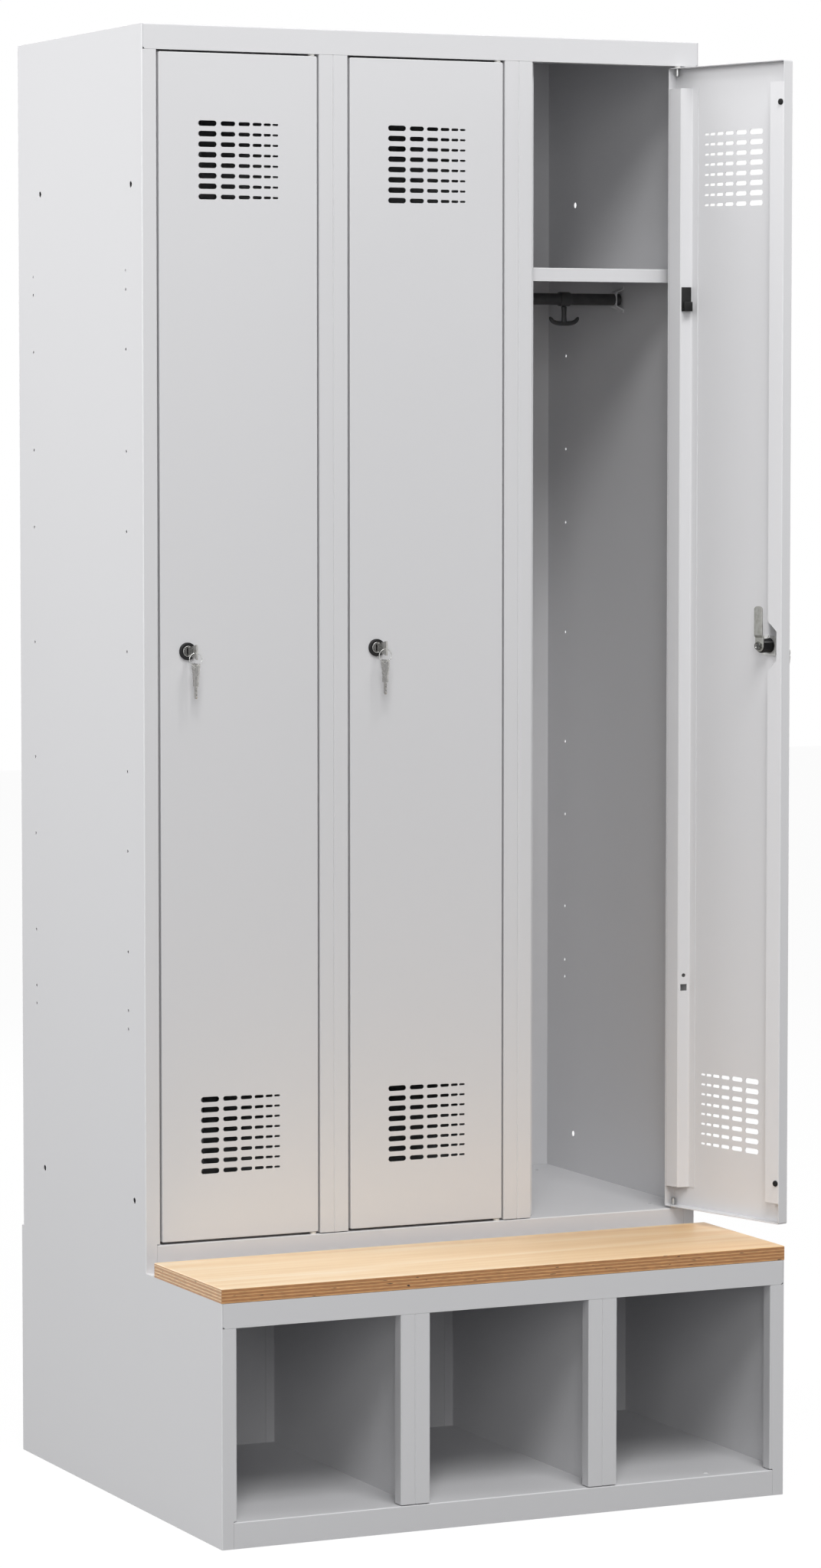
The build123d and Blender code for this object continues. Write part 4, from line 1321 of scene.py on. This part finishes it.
@dataclass
class Keys:
    """Inserted key, split ring of two turns of wire, and the second key that hangs from it."""

    place: DoorPlace
    thickness: float = 2.2
    head_length: float = 33.0
    head_half: float = 11.0
    neck_half: float = 5.9
    collar_half: float = 6.6
    collar_length: float = 5.5
    blade_half: float = 2.8
    blade_length: float = 18.0
    notch_start: float = 3.5
    notch_pitch: float = 3.0
    notch_half: float = 0.9
    notch_depths: tuple[float, ...] = (1.0, 1.7, 0.7, 1.4)
    tip_half: float = 0.9
    tip_length: float = 2.2
    corner_cut: float = 0.18
    head_cut: float = 2.6
    hole_sides: int = 28
    hole_radius: float = 2.1
    hole_inset: float = 5.5
    painted_highlight: float = 0.28
    edge_steps: int = 2
    edge_degrees: float = 60.0
    shoulder: float = -10.3
    hanging_turn: float = 8.0
    ring_radius: float = 9.7
    ring_rest: float = 1.25
    wire_height: float = 1.1
    wire_width: float = 0.62
    wire_sides: int = 12
    wire_end_power: int = 60
    steps_per_turn: int = 64

    def outline(self) -> list[np.ndarray]:
        """Outline of a key, with its shoulder at zero and its blade along plus, and its hole.

        Returns:
            The outline and the hole, each n by 2.
        """
        starts = self.notch_start + self.notch_pitch * np.arange(len(self.notch_depths))
        depths = np.array(self.notch_depths)
        blade = np.full(len(starts), -self.blade_half)
        notches = np.stack(
            [
                np.stack([starts - self.notch_half, blade], axis=1),
                np.stack([starts, depths - self.blade_half], axis=1),
                np.stack([starts + self.notch_half, blade], axis=1),
            ],
            axis=1,
        ).reshape(-1, 2)
        neck, tip = -self.collar_length, self.blade_length
        slope = tip - self.tip_length
        before = np.array(
            [
                (-self.head_length, self.head_half),
                (-self.head_length, -self.head_half),
                (neck, -self.neck_half),
                (neck, -self.collar_half),
                (0, -self.collar_half),
                (0, -self.blade_half),
            ]
        )
        after = np.array(
            [
                (slope, -self.blade_half),
                (tip, -self.tip_half),
                (tip, self.tip_half),
                (slope, self.blade_half),
                (0, self.blade_half),
                (0, self.collar_half),
                (neck, self.collar_half),
                (neck, self.neck_half),
            ]
        )
        corners = np.concatenate([before, notches, after])
        cuts = np.full(len(corners), self.corner_cut)
        cuts[:2] = self.head_cut
        hole = round_hole((self.hole_inset - self.head_length, 0), self.hole_radius, self.hole_sides)
        return [rounded(corners, cuts), hole]

    def inserted(self, drawn: np.ndarray) -> np.ndarray:
        """Place a key's drawing with its blade in the keyway and its faces left and right."""
        along, across, through = np.moveaxis(drawn, -1, 0)
        return self.place.on_lock(np.stack([through, across, self.shoulder + along], axis=-1))

    def hanging(self, drawn: np.ndarray) -> np.ndarray:
        """Place a key's drawing with its head up in the ring, its blade down and a slight turn."""
        along, across, through = np.moveaxis(drawn, -1, 0)
        turn = math.radians(self.hanging_turn)
        across, through = (
            through * math.sin(turn) + across * math.cos(turn),
            through * math.cos(turn) - across * math.sin(turn),
        )
        hole = self.hole_inset - self.head_length
        height = -2 * (self.ring_rest + self.ring_radius) + hole - along
        return self.place.on_lock(np.stack([through, height, self.shoulder + hole + across], axis=-1))

    def ring(self) -> np.ndarray:
        """Ring of wire in two turns.

        The centre goes twice round the ring's circle while it drifts through by one wire, and
        the wire's section shrinks to nothing at both ends.

        Returns:
            The grid of points along the wire.
        """
        turn = np.linspace(0, 4 * math.pi, 2 * self.steps_per_turn)
        drift = (turn / turn[-1] - 0.5) * self.wire_width
        middle = -(self.ring_rest + self.ring_radius)
        hole = self.shoulder + self.hole_inset - self.head_length
        across, height = self.ring_radius * np.sin(turn), middle - self.ring_radius * np.cos(turn)
        path = np.stack([across, height, hole + drift], axis=1)
        ends = np.sqrt(np.clip(1 - np.linspace(-1, 1, len(turn)) ** self.wire_end_power, 0, 1))
        through = np.array((0.0, 0.0, 1.0))
        return tube(path, through, self.wire_width * ends, self.wire_height * ends, self.wire_sides)

    def key(self, name: str, place: Placing) -> bpy.types.Object:
        """Blank a key from flat stock and round its edges.

        Args:
            name: Name of the piece.
            place: Carries the drawing to its place.

        Returns:
            The piece.
        """
        half = self.thickness / 2
        piece = joined(name, plate(self.outline(), -half, half, place), sharp_degrees=40)
        bevel = piece.modifiers.new("blanked edge", "BEVEL")
        bevel.width = self.painted_highlight * MM
        bevel.segments = self.edge_steps
        bevel.limit_method = "ANGLE"
        bevel.angle_limit = math.radians(self.edge_degrees)
        bevel.harden_normals = True
        piece.modifiers.move(len(piece.modifiers) - 1, 0)
        return piece

    def build(self) -> None:
        """Make both keys and the ring."""
        number = self.place.number
        piece = self.key(f"key_{number}_blanked", self.inserted)
        settle(piece, f"inserted_key_{number}", Slot.NICKEL_STEEL, f"key_{number}")
        piece = self.key(f"spare_key_{number}_blanked", self.hanging)
        settle(piece, f"hanging_key_{number}", Slot.NICKEL_STEEL, f"spare_key_{number}")
        piece = joined(f"key_ring_{number}_wire", [grid_mesh(self.place.on_lock(self.ring()), False, True)])
        settle(piece, f"split_ring_{number}", Slot.ZINC_STEEL, f"key_ring_{number}", finish=SPRING_WIRE)


@dataclass
class HingeBushes:
    """Nylon bushes in the floor and the head of the body, which the hinge pins turn in."""

    frame: dict
    floor_top: float = 390.0
    head_low: float = 2114.0
    collar_radius: float = 4.8
    collar_round: float = 0.5
    radius: float = 4.0
    bore: float = 3.05
    tail: float = 3.0
    floor_collar: float = 3.2
    head_collar: float = 2.7
    sides: int = 32

    def bush(self, hub: Sequence[float], face: float, collar: float, side: int) -> bpy.types.Mesh:
        """One bush: tail, collar and bore as a closed profile turned about the hinge line.

        Args:
            hub: Place of the hinge line in metres.
            face: Height of the sheet's face.
            collar: Height of the collar.
            side: 1 where the collar stands on the sheet, -1 where it hangs below it.

        Returns:
            The mesh.
        """
        painted_highlight = (self.collar_radius - self.collar_round, collar)
        profile = [(self.bore, -self.tail), (self.radius, -self.tail), (self.radius, 0)]
        profile += [(self.collar_radius, 0), (self.collar_radius, collar - self.collar_round), painted_highlight]
        profile += [(self.bore, collar)]
        grid = turned(np.array(profile) * (1, side) + (0, face), self.sides) * MM
        return grid_mesh(grid + np.array((hub[0], hub[1], 0.0)), True, True)

    def build(self) -> None:
        """Make the bushes of all doors as one piece, as their solid is."""
        hubs = [joint["pos_m"] for joint in self.frame["joints"] if joint["name"].startswith("door_hinge")]
        meshes = [self.bush(hub, self.floor_top, self.floor_collar, 1) for hub in hubs]
        meshes += [self.bush(hub, self.head_low, self.head_collar, -1) for hub in hubs]
        settle(joined("hinge_bushings_turned", meshes, 40), "cabinet", Slot.WHITE_NYLON, "hinge_bushings")


@dataclass
class HangerRail:
    """Round extruded rail with slightly rounded ends."""

    number: int
    radius: float = 9.0
    wall: float = 1.5
    painted_highlight: float = 0.5
    sides: int = 56

    def build(self) -> None:
        """Turn the wall's section about the rail's axis, in the solid's place."""
        node = f"hanger_rail_{self.number}"
        low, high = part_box(node)
        half, inner = (high.x - low.x) / 2 / MM, self.radius - self.wall
        profile = [(inner, half), (self.radius - self.painted_highlight, half), (self.radius, half - self.painted_highlight)]
        mirrored = [(radius, -along) for radius, along in reversed(profile)]
        grid = turned(np.array(profile + mirrored), self.sides)[..., [2, 0, 1]] * MM
        middle = np.array((low + high) / 2)
        piece = joined(f"{node}_extruded", [grid_mesh(grid + middle, True, True)], sharp_degrees=40)
        settle(piece, f"rail_{self.number}", Slot.DARK_PLASTIC, node)


@dataclass
class DoubleHook:
    """Moulded hook with two upturned arms, which slides on the hanger rail by its collar."""

    number: int
    frame: dict
    arm: float = 7.0 * MM
    arm_tip: float = 6.4 * MM
    arm_spread: float = 4.4 * MM
    stem_width: float = 9.4 * MM
    stem_waist: float = 7.8 * MM
    thickness: float = 6.0 * MM
    collar_width: float = 18 * MM
    collar_wall: float = 2.0 * MM
    collar_squareness: float = 0.45
    arm_rise: float = 0.42
    flat_part: float = 0.25
    tip_power: int = 18
    stem_end_power: int = 30
    arm_steps: int = 41
    stem_steps: int = 17
    collar_steps: int = 24
    collar_sides: int = 48
    sides: int = 20

    def arms(self, hub: np.ndarray, half_span: float, low: float, tip: float) -> np.ndarray:
        """Arms as one bow through both tips and the lowest point, thinner and closed at the tips.

        Over the share of the half span the bow rises by the sag times a quarter of the share's
        square plus three quarters of its sixth power, so it is flat with upturned ends.

        Args:
            hub: Point on the rail's axis above the hook.
            half_span: Half the distance between the tips' centres.
            low: Depth of the bow's lowest centre below the rail's axis.
            tip: Depth of the tips' centres below the rail's axis.

        Returns:
            The grid of points.
        """
        place = np.sin(np.linspace(-1, 1, self.arm_steps) * math.pi / 2)
        rise = (low - tip) * (self.flat_part * place**2 + (1 - self.flat_part) * place**6)
        path = np.stack([half_span * place, np.zeros_like(place), rise - low], axis=1)
        closing = np.sqrt(np.clip(1 - np.abs(place) ** self.tip_power, 0, 1))
        size = (self.arm + (self.arm_tip - self.arm) * place**2) * closing
        depthwise = np.array((0.0, 1.0, 0.0))
        return tube(hub + path, depthwise, size * self.thickness / self.arm, size, self.sides)

    def stem(self, hub: np.ndarray, top: float, low: float) -> np.ndarray:
        """Stem from the collar down to the arms, narrow at its waist.

        Args:
            hub: Point on the rail's axis above the hook.
            top: Depth at which the stem starts.
            low: Depth at which it ends.

        Returns:
            The grid of points.
        """
        share = np.linspace(0, 1, self.stem_steps)
        path = np.stack([share * 0, share * 0, -(top + share * (low - top))], axis=1)
        waist = self.stem_waist + (self.stem_width - self.stem_waist) * (2 * share - 1) ** 2
        closing = np.sqrt(np.clip(1 - np.abs(2 * share - 1) ** self.stem_end_power, 0, 1))
        depthwise = np.array((0.0, 1.0, 0.0))
        return tube(hub + path, depthwise, self.thickness * closing, waist * closing, self.sides)

    def squared(self, wave: np.ndarray) -> np.ndarray:
        """Square off a sine or cosine: its sign times a power below one of its size."""
        return np.sign(wave) * np.abs(wave) ** self.collar_squareness

    def collar(self, hub: np.ndarray, inner: float) -> np.ndarray:
        """Collar round the rail: a squared oval profile turned about the rail's axis.

        Args:
            hub: Point on the rail's axis at the collar's middle.
            inner: Radius of its hole.

        Returns:
            The grid of points.
        """
        round_rail = np.linspace(0, 2 * math.pi, self.collar_sides, endpoint=False)[:, None]
        profile = np.linspace(0, 2 * math.pi, self.collar_steps, endpoint=False)[None, :]
        half_wall = self.collar_wall / 2
        radius = inner + half_wall + half_wall * self.squared(np.sin(profile))
        along = self.collar_width / 2 * self.squared(np.cos(profile)) + 0 * round_rail
        points = [along, radius * np.cos(round_rail), radius * np.sin(round_rail)]
        return hub + np.stack(points, axis=-1)

    def build(self) -> None:
        """Make the hook where its solid is."""
        node = f"rail_hook_{self.number}"
        body = f"rail_{self.number}"
        axis = next(joint["pos_m"] for joint in self.frame["joints"] if joint["child"] == body)
        low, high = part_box(node)
        rail_low, rail_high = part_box(f"hanger_rail_{self.number}")
        rail_radius = (rail_high.z - rail_low.z) / 2
        hub = np.array(((low.x + high.x) / 2, axis[1], axis[2]))
        depth = axis[2] - low.z - self.arm / 2
        half_span = (high.x - low.x - self.arm_tip) / 2 + self.arm_spread
        meshes = [
            grid_mesh(self.arms(hub, half_span, depth, depth - half_span * self.arm_rise), False, True),
            grid_mesh(self.stem(hub, rail_radius + self.collar_wall / 2, depth), False, True),
            grid_mesh(self.collar(hub, rail_radius), True, True),
        ]
        piece = joined(f"{node}_moulded", meshes)
        settle(piece, f"double_hook_{self.number}", Slot.DARK_PLASTIC, node)


@dataclass(frozen=True)
class Lamp:
    """Soft rectangular lamp: where it hangs, what it faces, its size in metres and its power."""

    name: str
    place: tuple[float, float, float]
    aim: tuple[float, float, float]
    size: tuple[float, float]
    watts: float

    def hang(self) -> None:
        """Put the lamp into the scene."""
        data = bpy.data.lights.new(self.name, "AREA")
        data.shape = "RECTANGLE"
        data.size, data.size_y = self.size
        data.energy = self.watts
        made = bpy.data.objects.new(self.name, data)
        turn = (Vector(self.aim) - Vector(self.place)).to_track_quat("-Z", "Y")
        made.matrix_world = Matrix.Translation(self.place) @ turn.to_matrix().to_4x4()
        bpy.context.scene.collection.objects.link(made)


# Front powers start from a fit to tones of the photograph; the fills light the sides that it hides.
LAMPS = (
    Lamp("left window", (-4.4, 0.4, 3.4), (0.0, 0.0, 1.4), (2.0, 2.4), 157),
    Lamp("high front window", (-2.2, -5.4, 6.4), (0.1, -0.2, 0.6), (2.2, 2.2), 209),
    Lamp("front window", (-2.9, -6.2, 2.6), (0.0, 0.0, 1.1), (2.4, 2.4), 101),
    Lamp("front overhead", (0.15, -2.9, 5.2), (0.1, -0.3, 0.5), (1.2, 1.2), 83),
    Lamp("overhead", (-0.4, -1.2, 4.6), (0.0, -0.2, 1.0), (2.5, 2.5), 12),
    Lamp("right fill", (4.4, -0.6, 3.0), (0.0, 0.0, 1.1), (2.4, 2.4), 85),
    Lamp("back fill", (0.2, 5.2, 2.8), (0.0, 0.0, 1.1), (2.6, 2.4), 75),
)


@dataclass
class Studio:
    """White studio: floor, sky, soft lamps and the camera of the photograph."""

    camera_place: tuple[float, float, float] = (-3.2132, -6.9489, 1.5794)
    turn_degrees: float = 24.993
    tilt_degrees: float = -4.018
    focal_share: float = 3.26769
    sensor: float = 36.0
    floor_size: float = 30.0
    sky_strength: float = 0.15
    paper: str = "#808080"
    white_share: float = 0.8
    white_strength: float = 1.2

    def camera(self) -> None:
        """Place the camera: turned right from +Y, tilted down, with no shift."""
        data = bpy.data.cameras.new("view")
        data.sensor_width = self.sensor
        data.lens = self.sensor * self.focal_share
        data.clip_end = 100
        made = bpy.data.objects.new("view", data)
        turn = Matrix.Rotation(-math.radians(self.turn_degrees), 4, "Z")
        tilt = Matrix.Rotation(math.radians(90 + self.tilt_degrees), 4, "X")
        made.matrix_world = Matrix.Translation(self.camera_place) @ turn @ tilt
        bpy.context.scene.collection.objects.link(made)
        bpy.context.scene.camera = made

    def white_where_seen(
        self, tree: bpy.types.NodeTree, lit: bpy.types.NodeSocket, kind: str, share: float, strength: float
    ) -> bpy.types.NodeSocket:
        """Mix a shader with plain white for what the camera, gloss and glass see.

        Args:
            tree: Node tree of the floor or the world.
            lit: Shader that the other rays see.
            kind: Node that gives plain white.
            share: How far the white takes over.
            strength: Strength of the white, where 1 is white.

        Returns:
            The mixed shader.
        """
        path = add_node(tree, "LightPath").outputs
        seen = path["Is Camera Ray"]
        for ray in ("Is Glossy Ray", "Is Transmission Ray"):
            seen = add_node(tree, "Math", {0: seen, 1: path[ray]}, operation="MAXIMUM").outputs[0]
        amount = add_node(tree, "Math", {0: seen, 1: share}, operation="MULTIPLY")
        white = add_node(tree, kind, {"Color": (1, 1, 1, 1), "Strength": strength})
        mix = add_node(tree, "MixShader", {0: amount.outputs[0], 1: lit, 2: white.outputs[0]})
        return mix.outputs[0]

    def sky(self) -> None:
        """Light the object evenly from all round, and show white behind it."""
        world = bpy.data.worlds.new("studio")
        world.use_nodes = True
        tree = world.node_tree
        tree.nodes.clear()
        soft = add_node(tree, "Background", {"Color": (1, 1, 1, 1), "Strength": self.sky_strength})
        seen = self.white_where_seen(tree, soft.outputs[0], "Background", 1.0, 1.0)
        add_node(tree, "OutputWorld", {"Surface": seen})
        bpy.context.scene.world = world

    def floor(self) -> None:
        """Lay a floor that looks white, keeps a faint shadow and throws little light up at the base."""
        made = bpy.data.materials.new("studio floor")
        made.use_nodes = True
        tree = made.node_tree
        tree.nodes.clear()
        paper = add_node(tree, "BsdfDiffuse", {"Color": linear(self.paper)})
        lit = paper.outputs[0]
        seen = self.white_where_seen(tree, lit, "Emission", self.white_share, self.white_strength)
        add_node(tree, "OutputMaterial", {"Surface": seen})
        half = self.floor_size / 2
        span = np.linspace(-half, half, 2)
        grid = np.stack([*np.meshgrid(span, span, indexing="ij"), np.zeros((2, 2))], axis=-1)
        mesh = grid_mesh(grid, False, False)
        mesh.materials.append(made)
        piece = bpy.data.objects.new("floor", mesh)
        bpy.context.scene.collection.objects.link(piece)

    def build(self) -> None:
        """Set up the whole studio."""
        self.camera()
        self.sky()
        self.floor()
        for lamp in LAMPS:
            lamp.hang()
        bpy.context.scene.view_settings.view_transform = "Standard"
        LOG.info("studio ready")


def main() -> None:
    """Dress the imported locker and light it."""
    logging.basicConfig(level=logging.INFO, format="%(name)s: %(message)s")
    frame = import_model()
    Studio().build()
    SheetMetal(frame).build()
    SoftenedFittings(frame, {"coat_hook": 0.5, "lock_clip": 0.2}, {"lock_clip": SPRING_ZINC}).build()
    HingeBushes(frame).build()
    for number in DOOR_NUMBERS:
        place = DoorPlace(number, frame)
        DoorPan(place).build()
        DoorTrim(place).build()
        CamLock(place).build()
        Keys(place).build()
        HangerRail(number).build()
        DoubleHook(number, frame).build()


if __name__ == "__main__":
    main()
